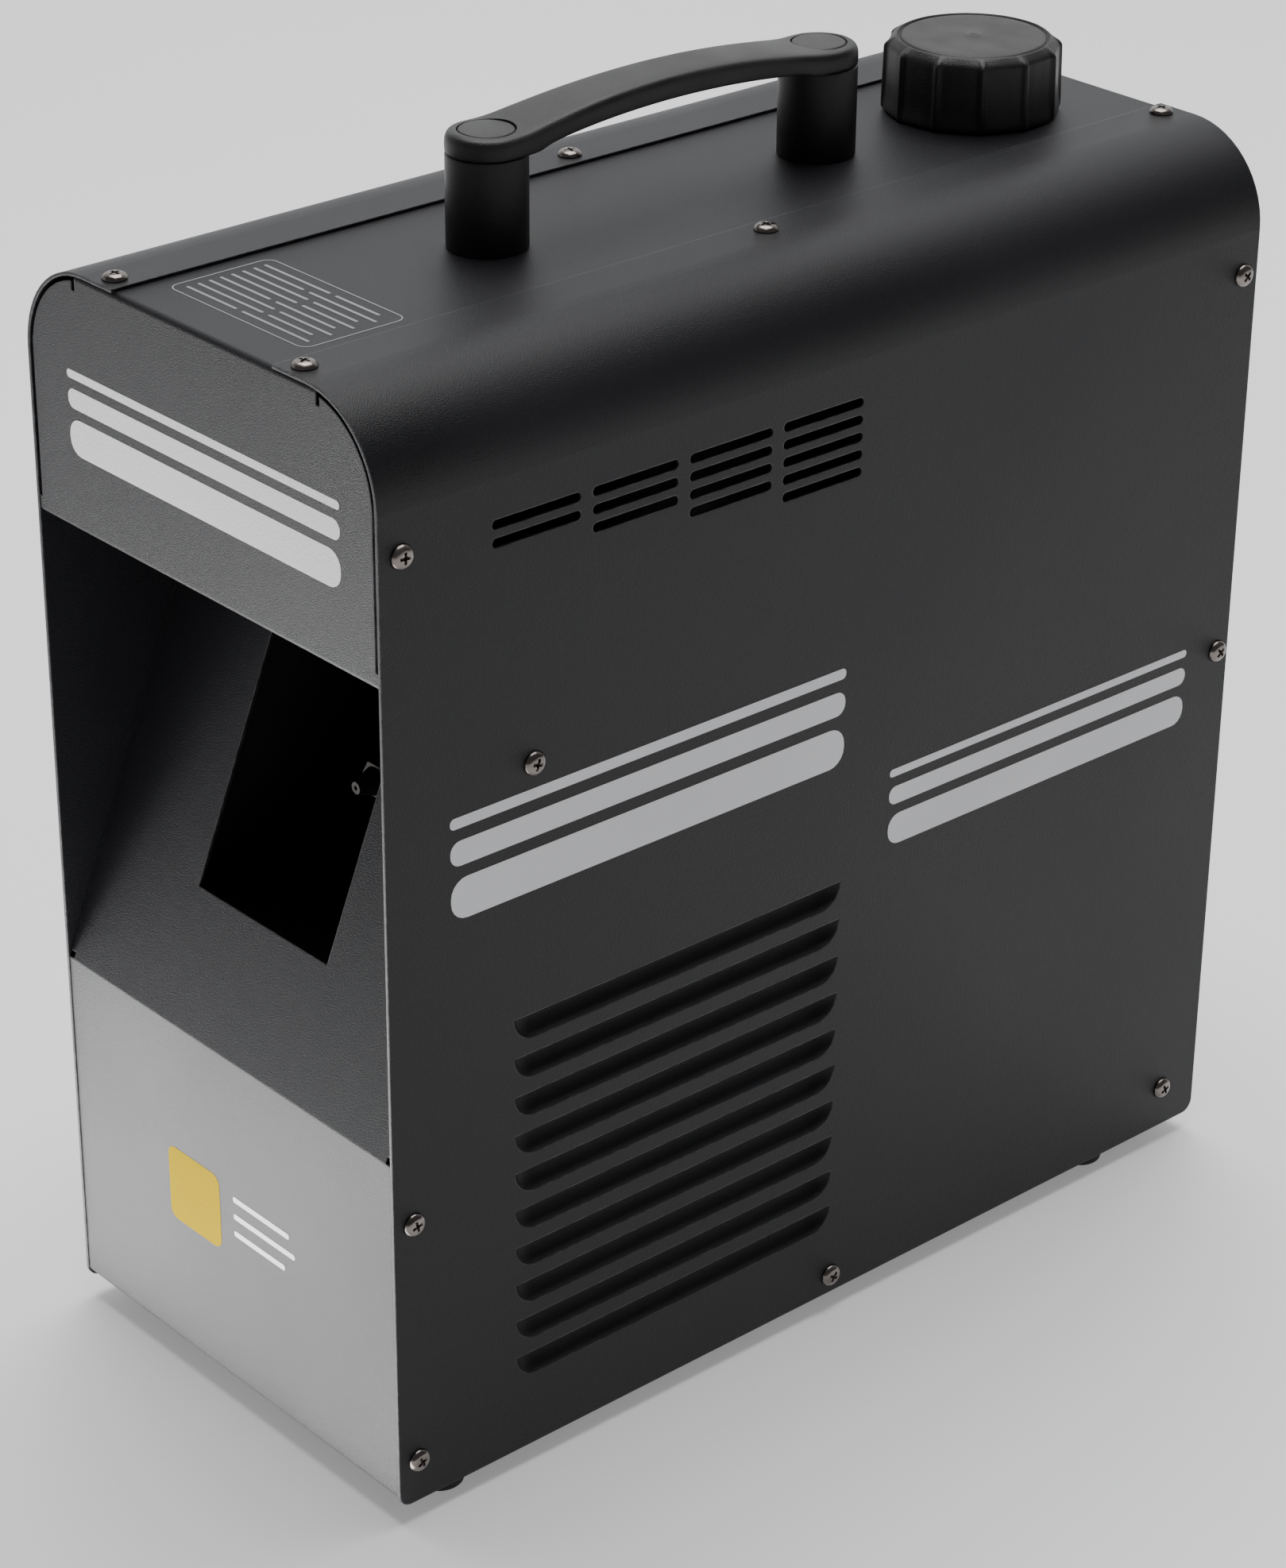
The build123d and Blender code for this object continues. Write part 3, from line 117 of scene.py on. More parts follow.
background.inputs["Color"].default_value = (0.97, 0.98, 1.0, 1.0)
print("sky from", SKY_DIM, "to", SKY_BRIGHT)


# %% Lights and floor
def lamp(name, place, size, power, aim=(0.0, 0.0, 0.2)):
    """A soft square lamp at a place, aimed at a point, with its power in watts."""
    data = bpy.data.lights.new(name, "AREA")
    data.size = size
    data.energy = power
    lit = bpy.data.objects.new(name, data)
    bpy.context.scene.collection.objects.link(lit)
    lit.location = place
    lit.rotation_mode = "QUATERNION"
    lit.rotation_quaternion = (Vector(aim) - Vector(place)).to_track_quat("-Z", "Y")
    print("lamp", name, power, "W")
    return lit


lamp("overhead", (-0.4, 0.5, 3.0), 2.4, 100.0, (-0.4, 0.5, 0.0))
lamp("key_left", (-1.5, -1.3, 0.9), 0.8, 1.0)
GLOW_Z = 0.003
NEAR_WIDE, NEAR_DEEP = 0.44, 0.275
near_glow = lamp("near_glow", (-0.11, -0.3405, GLOW_Z), NEAR_DEEP, 2.7, (-0.11, -0.3405, 1.0))
near_glow.data.shape = "RECTANGLE"
near_glow.data.size = NEAR_WIDE
near_glow.data.size_y = NEAR_DEEP
far_glow = lamp("far_glow", (-0.46, -0.63, GLOW_Z), 0.26, 2.9, (-0.46, -0.63, 1.0))
for glow in (near_glow, far_glow):
    glow.visible_camera = False

bpy.ops.mesh.primitive_plane_add(size=30.0, location=(0.0, 0.0, 0.0))
floor = bpy.context.active_object
floor.name = "floor"

# %% [markdown]
# ## Making meshes
#
# Three small makers cover most of the pieces. One builds an object from points and faces. One turns a
# profile round the Z axis with a Screw modifier, as a lathe would, which suits posts, feet and screw heads.
# One settles an object: it applies the modifiers where the piece was made, and then puts copies of the
# result where they belong, so that the finished object sits at the origin and a pattern on it never slides.


# %% Makers
def mesh_object(name, points, faces=(), edges=()):
    """An object made of points and faces, or of points and edges."""
    data = bpy.data.meshes.new(name)
    data.from_pydata([tuple(p) for p in points], list(edges), list(faces))
    made = bpy.data.objects.new(name, data)
    bpy.context.scene.collection.objects.link(made)
    return made


def smooth(data, sharp_degrees=35.0):
    """Smooth shading, except over edges sharper than an angle."""
    data.polygons.foreach_set("use_smooth", [True] * len(data.polygons))
    data.set_sharp_from_angle(angle=radians(sharp_degrees))


def settle(piece, places=(Matrix.Identity(4),), sharp_degrees=35.0):
    """Applies a piece's modifiers and then joins one copy of it for each place."""
    bpy.context.view_layer.update()
    evaluated = piece.evaluated_get(bpy.context.evaluated_depsgraph_get())
    shape = bpy.data.meshes.new_from_object(evaluated)
    joined = bmesh.new()
    for place in places:
        copy = shape.copy()
        copy.transform(place)
        joined.from_mesh(copy)
        bpy.data.meshes.remove(copy)
    piece.modifiers.clear()
    joined.to_mesh(piece.data)
    joined.free()
    smooth(piece.data, sharp_degrees)
    print(piece.name, len(piece.data.polygons), "faces")
    return piece


def turned(name, profile, steps=48):
    """A closed turned shape. The profile is (radius, height) points, from the axis at the top to the foot."""
    piece = mesh_object(
        name,
        [(r, 0.0, z) for r, z in profile],
        edges=[(i, i + 1) for i in range(len(profile) - 1)],
    )
    lathe = piece.modifiers.new("lathe", "SCREW")
    lathe.steps = lathe.render_steps = steps
    lathe.use_merge_vertices = True
    lathe.merge_threshold = 0.00001
    return piece


def arc(centre, radius, start, end, count):
    """Points of an arc, in degrees, for a profile or an outline."""
    angles = [radians(start + (end - start) * i / count) for i in range(count + 1)]
    return [(centre[0] + radius * cos(a), centre[1] + radius * sin(a)) for a in angles]


print("makers ready")


# %% [markdown]
# ## Shared effects for the finishes
#
# Four effects turn up in many finishes, so each is a node group, built once and placed with its own values:
# a fine grain for paint and moulded plastic, a slow drift of colour and gloss that keeps large faces from
# looking flat, an edge effect that rounds a fold's shading and paints the edges lighter, partly as wear and
# partly as a painted highlight, and long scratches for drawn metal. They
# all read the object's own coordinates, so the pattern stays fixed to the metal in every pose.


# %% Node helpers
FLOAT, COLOUR, VECTOR = "NodeSocketFloat", "NodeSocketColor", "NodeSocketVector"


def new_group(name, inputs, outputs):
    """An empty shader group with (name, kind, default) inputs and (name, kind) outputs."""
    group = bpy.data.node_groups.new(name, "ShaderNodeTree")
    for label, kind, value in inputs:
        socket = group.interface.new_socket(name=label, in_out="INPUT", socket_type=kind)
        if value is not None:
            socket.default_value = value
    for label, kind in outputs:
        group.interface.new_socket(name=label, in_out="OUTPUT", socket_type=kind)
    return group, group.nodes.new("NodeGroupInput"), group.nodes.new("NodeGroupOutput")


def add_noise(tree, vector, scale, detail=2.0):
    """A noise texture fed by a vector and a scale socket or number."""
    noise = tree.nodes.new("ShaderNodeTexNoise")
    noise.inputs["Detail"].default_value = detail
    tree.links.new(vector, noise.inputs["Vector"])
    if isinstance(scale, (int, float)):
        noise.inputs["Scale"].default_value = scale
    else:
        tree.links.new(scale, noise.inputs["Scale"])
    return noise.outputs["Fac"]


def add_range(tree, value, low, high, to_low, to_high):
    """A clamped change of range. Each limit is a number or a socket."""
    node = tree.nodes.new("ShaderNodeMapRange")
    tree.links.new(value, node.inputs["Value"])
    for label, limit in (("From Min", low), ("From Max", high), ("To Min", to_low), ("To Max", to_high)):
        if isinstance(limit, (int, float)):
            node.inputs[label].default_value = limit
        else:
            tree.links.new(limit, node.inputs[label])
    return node.outputs["Result"]


def add_mix(tree, factor, first, second):
    """A colour mix. Each colour is a tuple or a socket."""
    node = tree.nodes.new("ShaderNodeMix")
    node.data_type = "RGBA"
    tree.links.new(factor, node.inputs["Factor"])
    for label, colour in (("A", first), ("B", second)):
        socket = [s for s in node.inputs if s.name == label and s.type == "RGBA"][0]
        if isinstance(colour, tuple):
            socket.default_value = colour
        else:
            tree.links.new(colour, socket)
    return [s for s in node.outputs if s.type == "RGBA"][0]


# %% Grain and drift groups
grain_group, given, out = new_group(
    "fine_grain",
    [("Vector", VECTOR, None), ("Scale", FLOAT, 1200.0)],
    [("Height", FLOAT)],
)
pebbles = add_noise(grain_group, given.outputs["Vector"], given.outputs["Scale"], 2.0)
grain_group.links.new(add_range(grain_group, pebbles, 0.3, 0.7, 0.0, 1.0), out.inputs["Height"])

drift_group, given, out = new_group(
    "slow_drift",
    [
        ("Vector", VECTOR, None),
        ("Scale", FLOAT, 12.0),
        ("Dark", COLOUR, (0.0, 0.0, 0.0, 1.0)),
        ("Light", COLOUR, (1.0, 1.0, 1.0, 1.0)),
        ("Gloss Low", FLOAT, 0.4),
        ("Gloss High", FLOAT, 0.5),
    ],
    [("Color", COLOUR), ("Roughness", FLOAT)],
)
cloud = add_noise(drift_group, given.outputs["Vector"], given.outputs["Scale"], 4.0)
even = add_range(drift_group, cloud, 0.35, 0.65, 0.0, 1.0)
mixed = add_mix(drift_group, even, given.outputs["Dark"], given.outputs["Light"])
drift_group.links.new(mixed, out.inputs["Color"])
dull = add_range(drift_group, cloud, 0.35, 0.65, given.outputs["Gloss Low"], given.outputs["Gloss High"])
drift_group.links.new(dull, out.inputs["Roughness"])
print("groups:", grain_group.name, drift_group.name)

# %% Edge and scratch groups
edge_group, given, out = new_group(
    "edge_wear_and_sheen",
    [("Vector", VECTOR, None), ("Width", FLOAT, 0.0006), ("Amount", FLOAT, 1.0)],
    [("Mask", FLOAT), ("Normal", VECTOR)],
)
rounded = edge_group.nodes.new("ShaderNodeBevel")
rounded.samples = 4
edge_group.links.new(given.outputs["Width"], rounded.inputs["Radius"])
flat = edge_group.nodes.new("ShaderNodeNewGeometry")
turn = edge_group.nodes.new("ShaderNodeVectorMath")
turn.operation = "DOT_PRODUCT"
edge_group.links.new(rounded.outputs["Normal"], turn.inputs[0])
edge_group.links.new(flat.outputs["Normal"], turn.inputs[1])
# The edge mask paints the folds lighter: partly wear, broken into patches, and partly a painted highlight along
# every edge.
corner_mask = add_range(edge_group, turn.outputs["Value"], 0.97, 0.80, 0.0, given.outputs["Amount"])
patches = add_range(
    edge_group, add_noise(edge_group, given.outputs["Vector"], 260.0, 3.0), 0.38, 0.6, 0.25, 1.0
)
wear_and_sheen = edge_group.nodes.new("ShaderNodeMath")
wear_and_sheen.operation = "MULTIPLY"
edge_group.links.new(corner_mask, wear_and_sheen.inputs[0])
edge_group.links.new(patches, wear_and_sheen.inputs[1])
edge_group.links.new(wear_and_sheen.outputs[0], out.inputs["Mask"])
edge_group.links.new(rounded.outputs["Normal"], out.inputs["Normal"])

scratch_group, given, out = new_group(
    "drawn_lines",
    [("Vector", VECTOR, None), ("Scale", FLOAT, 500.0), ("Stretch", VECTOR, (1.0, 1.0, 0.02))],
    [("Height", FLOAT)],
)
pulled = scratch_group.nodes.new("ShaderNodeVectorMath")
pulled.operation = "MULTIPLY"
scratch_group.links.new(given.outputs["Vector"], pulled.inputs[0])
scratch_group.links.new(given.outputs["Stretch"], pulled.inputs[1])
lines = add_noise(scratch_group, pulled.outputs[0], given.outputs["Scale"], 3.0)
scratch_group.links.new(lines, out.inputs["Height"])
print("groups:", edge_group.name, scratch_group.name)


# %% [markdown]
# ## Finishes
#
# A finish here is a Principled shader with the groups set before it. The maker below takes two close
# colours and two close gloss values that the drift moves between, a grain for the bump, and an optional lighter
# edge, which is partly wear and partly a painted highlight. Real finishes differ mostly in these: powder coat
# is matte with a pebbled skin, moulded plastic has a finer and shallower one, plated steel is a metal with
# drawn lines, and rubber is darker and duller.


# %% Finish maker
def finish(
    name, dark, light, gloss,
    metal=0.0, grain=1200.0, depth=0.00005, drift=12.0, wear_and_sheen=None, drawn=None, shine=0.5,
):
    """A procedural material. depth is the grain's height in metres, the edge pair is (colour, width) for a
    lighter edge that is partly wear and partly a painted highlight, drawn is a stretch that turns the grain
    into lines, and shine is how strongly the surface mirrors."""
    made = bpy.data.materials.new(name)
    made.use_nodes = True
    tree = made.node_tree
    shader = tree.nodes["Principled BSDF"]
    place = tree.nodes.new("ShaderNodeTexCoord").outputs["Object"]

    slow = tree.nodes.new("ShaderNodeGroup")
    slow.node_tree = drift_group
    tree.links.new(place, slow.inputs["Vector"])
    slow.inputs["Scale"].default_value = drift
    slow.inputs["Dark"].default_value = (*dark, 1.0)
    slow.inputs["Light"].default_value = (*light, 1.0)
    slow.inputs["Gloss Low"].default_value = gloss[0]
    slow.inputs["Gloss High"].default_value = gloss[1]
    colour = slow.outputs["Color"]
    tree.links.new(slow.outputs["Roughness"], shader.inputs["Roughness"])

    fine = tree.nodes.new("ShaderNodeGroup")
    fine.node_tree = scratch_group if drawn else grain_group
    tree.links.new(place, fine.inputs["Vector"])
    fine.inputs["Scale"].default_value = grain
    if drawn:
        fine.inputs["Stretch"].default_value = drawn
    bump = tree.nodes.new("ShaderNodeBump")
    bump.inputs["Distance"].default_value = depth
    tree.links.new(fine.outputs["Height"], bump.inputs["Height"])
    tree.links.new(bump.outputs["Normal"], shader.inputs["Normal"])

    # A lighter colour on the edges: partly wear and partly a painted highlight.
    if wear_and_sheen:
        edge = tree.nodes.new("ShaderNodeGroup")
        edge.node_tree = edge_group
        tree.links.new(place, edge.inputs["Vector"])
        edge.inputs["Width"].default_value = wear_and_sheen[1]
        colour = add_mix(tree, edge.outputs["Mask"], colour, (*wear_and_sheen[0], 1.0))
        tree.links.new(edge.outputs["Normal"], bump.inputs["Normal"])
    tree.links.new(colour, shader.inputs["Base Color"])
    shader.inputs["Metallic"].default_value = metal
    shader.inputs["Specular IOR Level"].default_value = shine
    print("finish", name)
    return made


# %% Paint, plastic and rubber
# Its lighter edge colour is a painted highlight along the folds and seams, and partly wear.
powder_coat = finish(
    "powder_coat", (0.0085, 0.0085, 0.0100), (0.0115, 0.0115, 0.0135), (0.34, 0.41),
    grain=2500.0, depth=0.00008, drift=9.0, wear_and_sheen=((0.14, 0.14, 0.15), 0.0008), shine=0.25,
)
inner_coat = finish(
    "inner_coat", (0.006, 0.006, 0.0065), (0.009, 0.009, 0.0095), (0.55, 0.68), grain=900.0, depth=0.00006,
    shine=0.25,
)
# The lighter edges of the grip and posts are a painted highlight, and partly wear.
grip_plastic = finish(
    "grip_plastic", (0.011, 0.0105, 0.010), (0.016, 0.0155, 0.015), (0.36, 0.48),
    grain=2600.0, depth=0.00005, drift=30.0, wear_and_sheen=((0.05, 0.05, 0.052), 0.0006), shine=0.40,
)
# The lighter edges of the cap's ribs and rim are a painted highlight, and partly wear.
cap_plastic = finish(
    "cap_plastic", (0.010, 0.0095, 0.009), (0.015, 0.0145, 0.014), (0.34, 0.46),
    grain=2200.0, depth=0.00005, drift=60.0, wear_and_sheen=((0.06, 0.058, 0.055), 0.0007), shine=0.36,
)
foot_rubber = finish(
    "foot_rubber", (0.012, 0.012, 0.012), (0.022, 0.021, 0.020), (0.62, 0.80), grain=2600.0, depth=0.00006,
)
tank_plastic = finish(
    "tank_plastic", (0.72, 0.73, 0.68), (0.80, 0.81, 0.77), (0.34, 0.46), grain=700.0, depth=0.00008,
)
fan_plastic = finish(
    "fan_plastic", (0.016, 0.016, 0.018), (0.024, 0.024, 0.026), (0.34, 0.44), grain=1500.0, depth=0.00003,
)
gloss_plastic = finish(
    "gloss_plastic", (0.012, 0.012, 0.012), (0.017, 0.017, 0.018), (0.20, 0.30), grain=1500.0, depth=0.00002,
)
key_plastic = finish(
    "key_plastic", (0.06, 0.06, 0.065), (0.08, 0.08, 0.085), (0.38, 0.48), grain=2400.0, depth=0.00003,
)
rocker_plastic = finish(
    "rocker_plastic", (0.30, 0.012, 0.010), (0.38, 0.018, 0.014), (0.18, 0.26), grain=1500.0, depth=0.00002,
)
nylon = finish("nylon", (0.70, 0.70, 0.67), (0.78, 0.78, 0.76), (0.36, 0.46), grain=1200.0, depth=0.00003)
hose_silicone = finish(
    "hose_silicone", (0.60, 0.60, 0.57), (0.70, 0.70, 0.68), (0.40, 0.55), grain=900.0, depth=0.00004,
)
board_lacquer = finish(
    "board_lacquer", (0.012, 0.085, 0.035), (0.020, 0.120, 0.050), (0.22, 0.36), grain=800.0, depth=0.00004,
)
screen_window = finish(
    "screen_window", (0.010, 0.022, 0.030), (0.014, 0.030, 0.040), (0.06, 0.12), grain=300.0, depth=0.000005,
)

# %% Metals
plated_steel = finish(
    "plated_steel", (0.50, 0.50, 0.51), (0.60, 0.60, 0.61), (0.30, 0.42),
    metal=1.0, grain=420.0, depth=0.00002, drift=25.0, drawn=(1.0, 0.03, 1.0),
)
# A dark steel that paints the shade inside the case on the partition and the tank shelf.
shade_darkened_steel = finish(
    "shade_darkened_steel", (0.030, 0.029, 0.030), (0.045, 0.044, 0.045), (0.42, 0.55),
    metal=1.0, grain=420.0, depth=0.00002, drift=25.0, drawn=(1.0, 0.03, 1.0),
)
# The bright edge colour paints highlights on the heads' rims, with a little wear.
screw_nickel = finish(
    "screw_nickel", (0.17, 0.15, 0.14), (0.26, 0.23, 0.215), (0.16, 0.28),
    metal=1.0, grain=1600.0, depth=0.00001, drift=160.0, wear_and_sheen=((0.55, 0.50, 0.46), 0.0003),
)
bare_steel = finish(
    "bare_steel", (0.44, 0.44, 0.45), (0.55, 0.55, 0.56), (0.24, 0.36),
    metal=1.0, grain=600.0, depth=0.00002, drift=30.0, drawn=(1.0, 1.0, 0.05),
)
cast_alloy = finish(
    "cast_alloy", (0.52, 0.52, 0.53), (0.62, 0.62, 0.63), (0.42, 0.58), metal=1.0, grain=900.0, depth=0.0001,
)
smoked_steel = finish(
    "smoked_steel", (0.018, 0.017, 0.016), (0.035, 0.033, 0.031), (0.45, 0.60),
    metal=1.0, grain=900.0, depth=0.00002, drift=80.0,
)
turned_brass = finish(
    "turned_brass", (0.62, 0.43, 0.17), (0.70, 0.50, 0.22), (0.20, 0.32),
    metal=1.0, grain=900.0, depth=0.00001, drift=60.0, drawn=(1.0, 0.05, 1.0),
)
# The bright edge colour paints highlights on the socket rims, with a little wear.
socket_nickel = finish(
    "socket_nickel", (0.52, 0.50, 0.47), (0.62, 0.60, 0.57), (0.24, 0.36),
    metal=1.0, grain=1400.0, depth=0.00001, drift=60.0, wear_and_sheen=((0.8, 0.78, 0.74), 0.0003),
)
pin_nickel = finish(
    "pin_nickel", (0.66, 0.65, 0.62), (0.75, 0.74, 0.72), (0.10, 0.18), metal=1.0, grain=1400.0, depth=0.000005,
)

# %% Blanket, tape, ceramic and ink
ceramic_blanket = finish(
    "ceramic_blanket", (0.62, 0.60, 0.55), (0.80, 0.78, 0.72), (0.85, 0.98),
    grain=420.0, depth=0.0006, drift=80.0, drawn=(1.0, 0.2, 1.0),
)
coil_tape = finish(
    "coil_tape", (0.42, 0.22, 0.045), (0.52, 0.29, 0.07), (0.28, 0.40), grain=500.0, depth=0.00005,
    drawn=(0.1, 0.1, 1.0),
)
ceramic_body = finish(
    "ceramic_body", (0.66, 0.65, 0.60), (0.76, 0.75, 0.71), (0.55, 0.70), grain=1500.0, depth=0.00004,
)
fuse_tube = finish(
    "fuse_tube", (0.60, 0.64, 0.64), (0.72, 0.76, 0.76), (0.05, 0.12), grain=600.0, depth=0.000005,
)
white_ink = finish(
    "white_ink", (0.66, 0.66, 0.68), (0.74, 0.74, 0.76), (0.42, 0.54), grain=1000.0, depth=0.00005,
)
grey_ink = finish(
    "grey_ink", (0.22, 0.23, 0.25), (0.30, 0.31, 0.33), (0.45, 0.55), grain=1000.0, depth=0.00005,
)
yellow_ink = finish(
    "yellow_ink", (0.36, 0.25, 0.010), (0.40, 0.28, 0.014), (0.55, 0.65), grain=1000.0, depth=0.00005,
    shine=0.0,
)
studio_floor = finish(
    "studio_floor", (0.90, 0.90, 0.90), (0.92, 0.92, 0.92), (0.7, 0.8), grain=200.0, depth=0.00002, drift=2.0,
)
FLOOR_LIFT = 0.25
floor_shader = studio_floor.node_tree.nodes["Principled BSDF"]
floor_shader.inputs["Emission Color"].default_value = (1.0, 1.0, 1.0, 1.0)
floor_shader.inputs["Emission Strength"].default_value = FLOOR_LIFT
floor.data.materials.append(studio_floor)

# %% [markdown]
# ## Finishes on the exact parts
#
# Most of the case keeps its CAD shape, because folded sheet steel is exact: the slots, the pressed louvres
# and the folds are already there. Only a material is assigned. The table below says which finish each part
# takes, mostly in the words a maker would use on the shop floor; the partition and the tank shelf take a dark
# steel that paints the shade inside the case.

# %% Assign the finishes
FINISHES = {
    powder_coat: "left_cover right_cover front_panel top_panel rear_panel floor_pan",
    inner_coat: "outlet_duct",
    plated_steel: "handle_stay heater_hood heater_pillars",
    # The partition and tank shelf are darkened to paint the shade inside the case.
    shade_darkened_steel: "partition tank_shelf",
    screw_nickel: "foot_screws handle_bolts fan_screws heater_bolts panel_screws",
    foot_rubber: "cap_seal pump_mounts",
    tank_plastic: "fluid_tank tank_neck",
    fan_plastic: "fan_frame fan_rotor",
    cast_alloy: "heater_lower heater_upper",
    bare_steel: "heater_elements steam_pipe pump_plunger pump_yoke",
    turned_brass: "pump_barrel",
    smoked_steel: "nozzle",
    ceramic_blanket: "heater_wool",
    coil_tape: "pump_coil",
    hose_silicone: "suction_hose pressure_hose",
    board_lacquer: "control_board",
    nylon: "board_spacers",
    screen_window: "control_screen",
    key_plastic: "key_menu key_down key_up key_enter",
    gloss_plastic: "mains_inlet power_switch fuse_holder fuse_cap",
    socket_nickel: "dmx_in dmx_out dmx_latch",
    pin_nickel: "socket_pins",
    rocker_plastic: "switch_rocker",
    ceramic_body: "thermal_cutout",
    fuse_tube: "fuse_link",
}
for material, names in FINISHES.items():
    for node_name in names.split():
        node = nodes[node_name]
        node.data.materials.clear()
        node.data.materials.append(material)
print("parts with a finish:", sum(len(names.split()) for names in FINISHES.values()))

# %% [markdown]
# ## Handle posts
#
# Each post is a plain moulded tube with its edges just broken. It is turned from a profile, with a small
# round at the top and bottom that catches the light as the real one does.

# %% Posts
post_low, post_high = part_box("handle_posts")
POST_R = post_high.x
FRONT_POST_Y = post_low.y + POST_R
REAR_POST_Y = post_high.y - POST_R
POST_TALL = post_high.z - post_low.z
EDGE = 0.0006

post_profile = [(0.0, POST_TALL)]
post_profile += arc((POST_R - EDGE, POST_TALL - EDGE), EDGE, 90.0, 0.0, 3)
post_profile += arc((POST_R - EDGE, EDGE), EDGE, 0.0, -90.0, 3)
post_profile += [(0.0, 0.0)]
posts = settle(
    turned("posts", post_profile, 64),
    [Matrix.Translation((0.0, y, post_low.z)) for y in (FRONT_POST_Y, REAR_POST_Y)],
)
posts.data.materials.append(grip_plastic)
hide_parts("handle_posts")
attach(posts, "case")

# %% [markdown]
# ## Grip
#
# The grip is one moulding: round pads over the posts, a waist between them and an arched top, with its edges
# well rounded for the hand. A cage of rings does this. Every ring follows the same plan outline, pulled in a
# little more at each step as it climbs over the edge, and the top and bottom are closed by rows that join
# the left side to the right. A Subdivision modifier then makes it smooth.

# %% Grip outline
grip_low, grip_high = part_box("handle_grip")
PAD_R = -(grip_low.y - FRONT_POST_Y)
WAIST_HALF = 0.01075
MIDDLE_Y = (FRONT_POST_Y + REAR_POST_Y) / 2
HALF_SPAN = (REAR_POST_Y - FRONT_POST_Y) / 2
PAD_TOP_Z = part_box("handle_plugs")[1].z - 0.0001
ARCH_HALF = HALF_SPAN - 0.0085
UNDER_RISE = grip_high.z - 0.0084 - grip_low.z


def grip_half_width(y):
    """Half the grip's width between the posts: full at the pads and narrow at the waist."""
    share = abs(y - MIDDLE_Y) / HALF_SPAN
    return WAIST_HALF + (PAD_R - WAIST_HALF) * share**2.2


def grip_top(y):
    """Height of the top: level over the plugs and arched between them."""
    share = abs(y - MIDDLE_Y) / ARCH_HALF
    return PAD_TOP_Z + max(0.0, grip_high.z - PAD_TOP_Z) * max(0.0, 1.0 - share**2)


def grip_under(y):
    """Height of the underside: level over the posts and arched between them."""
    share = abs(y - MIDDLE_Y) / (HALF_SPAN - PAD_R - 0.001)
    if share > 1.0:
        return grip_low.z
    return grip_low.z + 0.0016 + (UNDER_RISE - 0.0016) * (1.0 - share**2)


side_ys = [PAD_R * 0.5, PAD_R * 0.96, PAD_R + 0.0022, HALF_SPAN * 0.42, HALF_SPAN * 0.6, HALF_SPAN * 0.8]
front_side = [(grip_half_width(FRONT_POST_Y + d), FRONT_POST_Y + d) for d in side_ys]
front_end = [(PAD_R * sin(a), FRONT_POST_Y - PAD_R * cos(a)) for a in (radians(15 * i) for i in range(7))]
right_front = front_end + front_side + [(WAIST_HALF, MIDDLE_Y)]
right_rear = [(x, 2 * MIDDLE_Y - y) for x, y in reversed(right_front[:-1])]
right_line = right_front + right_rear
print("grip outline has", len(right_line), "points a side")

# %% Grip cage
ROUND = 0.0036
TOP_STEPS = [(0.0, -ROUND), (0.00035, -ROUND * 0.55), (0.0011, -ROUND * 0.22), (ROUND * 0.72, -0.00012)]
LOW_STEPS = [(0.0007, 0.0), (0.0002, 0.0003), (0.0, 0.0012)]


def inset_line(line, amount):
    """The right-hand outline pulled in towards the grip's inside, ends included."""
    moved = []
    for index, (x, y) in enumerate(line):
        before = line[index - 1] if index else (-line[1][0], line[1][1])
        after = line[index + 1] if index + 1 < len(line) else (-line[-2][0], line[-2][1])
        along = Vector((after[0] - before[0], after[1] - before[1])).normalized()
        moved.append((x - along.y * amount, y + along.x * amount))
    moved[0] = (0.0, moved[0][1])
    moved[-1] = (0.0, moved[-1][1])
    return moved


def grip_ring(amount, lift, height):
    """A closed ring: up the right side and back down the left."""
    right = inset_line(right_line, amount)
    heights = [height(y) + lift for _, y in right_line]
    ring = [(x, y, z) for (x, y), z in zip(right, heights)]
    return ring + [(-x, y, z) for x, y, z in reversed(ring[1:-1])]


rings = [grip_ring(amount, lift, grip_under) for amount, lift in LOW_STEPS]
rings += [grip_ring(amount, lift, grip_top) for amount, lift in TOP_STEPS]
count = len(rings[0])
points = [p for ring in rings for p in ring]
faces = []
for level in range(len(rings) - 1):
    for i in range(count):
        j = (i + 1) % count
        faces.append((level * count + i, level * count + j, (level + 1) * count + j, (level + 1) * count + i))


def close_rows(first, up):
    """Rows of faces that join each point of a ring to its twin on the other side."""
    side = len(right_line)
    rows = []
    for i in range(side - 1):
        a, b = first + i, first + i + 1
        c, d = first + (count - i - 1) % count, first + (count - i) % count
        row = [a, b, c, d] if 0 < i < side - 2 else ([a, b, c] if i == 0 else [a, b, d])
        rows.append(tuple(row if up else reversed(row)))
    return rows


faces += close_rows(0, False) + close_rows((len(rings) - 1) * count, True)
grip = mesh_object("grip", points, faces)
soften = grip.modifiers.new("soften", "SUBSURF")
soften.levels = soften.render_levels = 2
print("grip cage:", len(points), "points")

# %% [markdown]
# The two pads have round pockets for the plugs that hide the bolts. They are cut after the smoothing, so
# that their edge stays crisp, by a Boolean with two cylinders that are then thrown away.

# %% Plug pockets and plugs
plug_low, plug_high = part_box("handle_plugs")
PLUG_R = plug_high.x
pocket_profile = [(0.0, 0.03), (PLUG_R + 0.0001, 0.03), (PLUG_R + 0.0001, 0.0), (0.0, 0.0)]
post_places = [Matrix.Translation((0.0, y, plug_low.z)) for y in (FRONT_POST_Y, REAR_POST_Y)]
pockets = settle(turned("pockets", pocket_profile, 64), post_places)
cut = grip.modifiers.new("pockets", "BOOLEAN")
cut.operation = "DIFFERENCE"
cut.solver = "EXACT"
cut.object = pockets
settle(grip, sharp_degrees=40.0)
bpy.data.objects.remove(pockets)

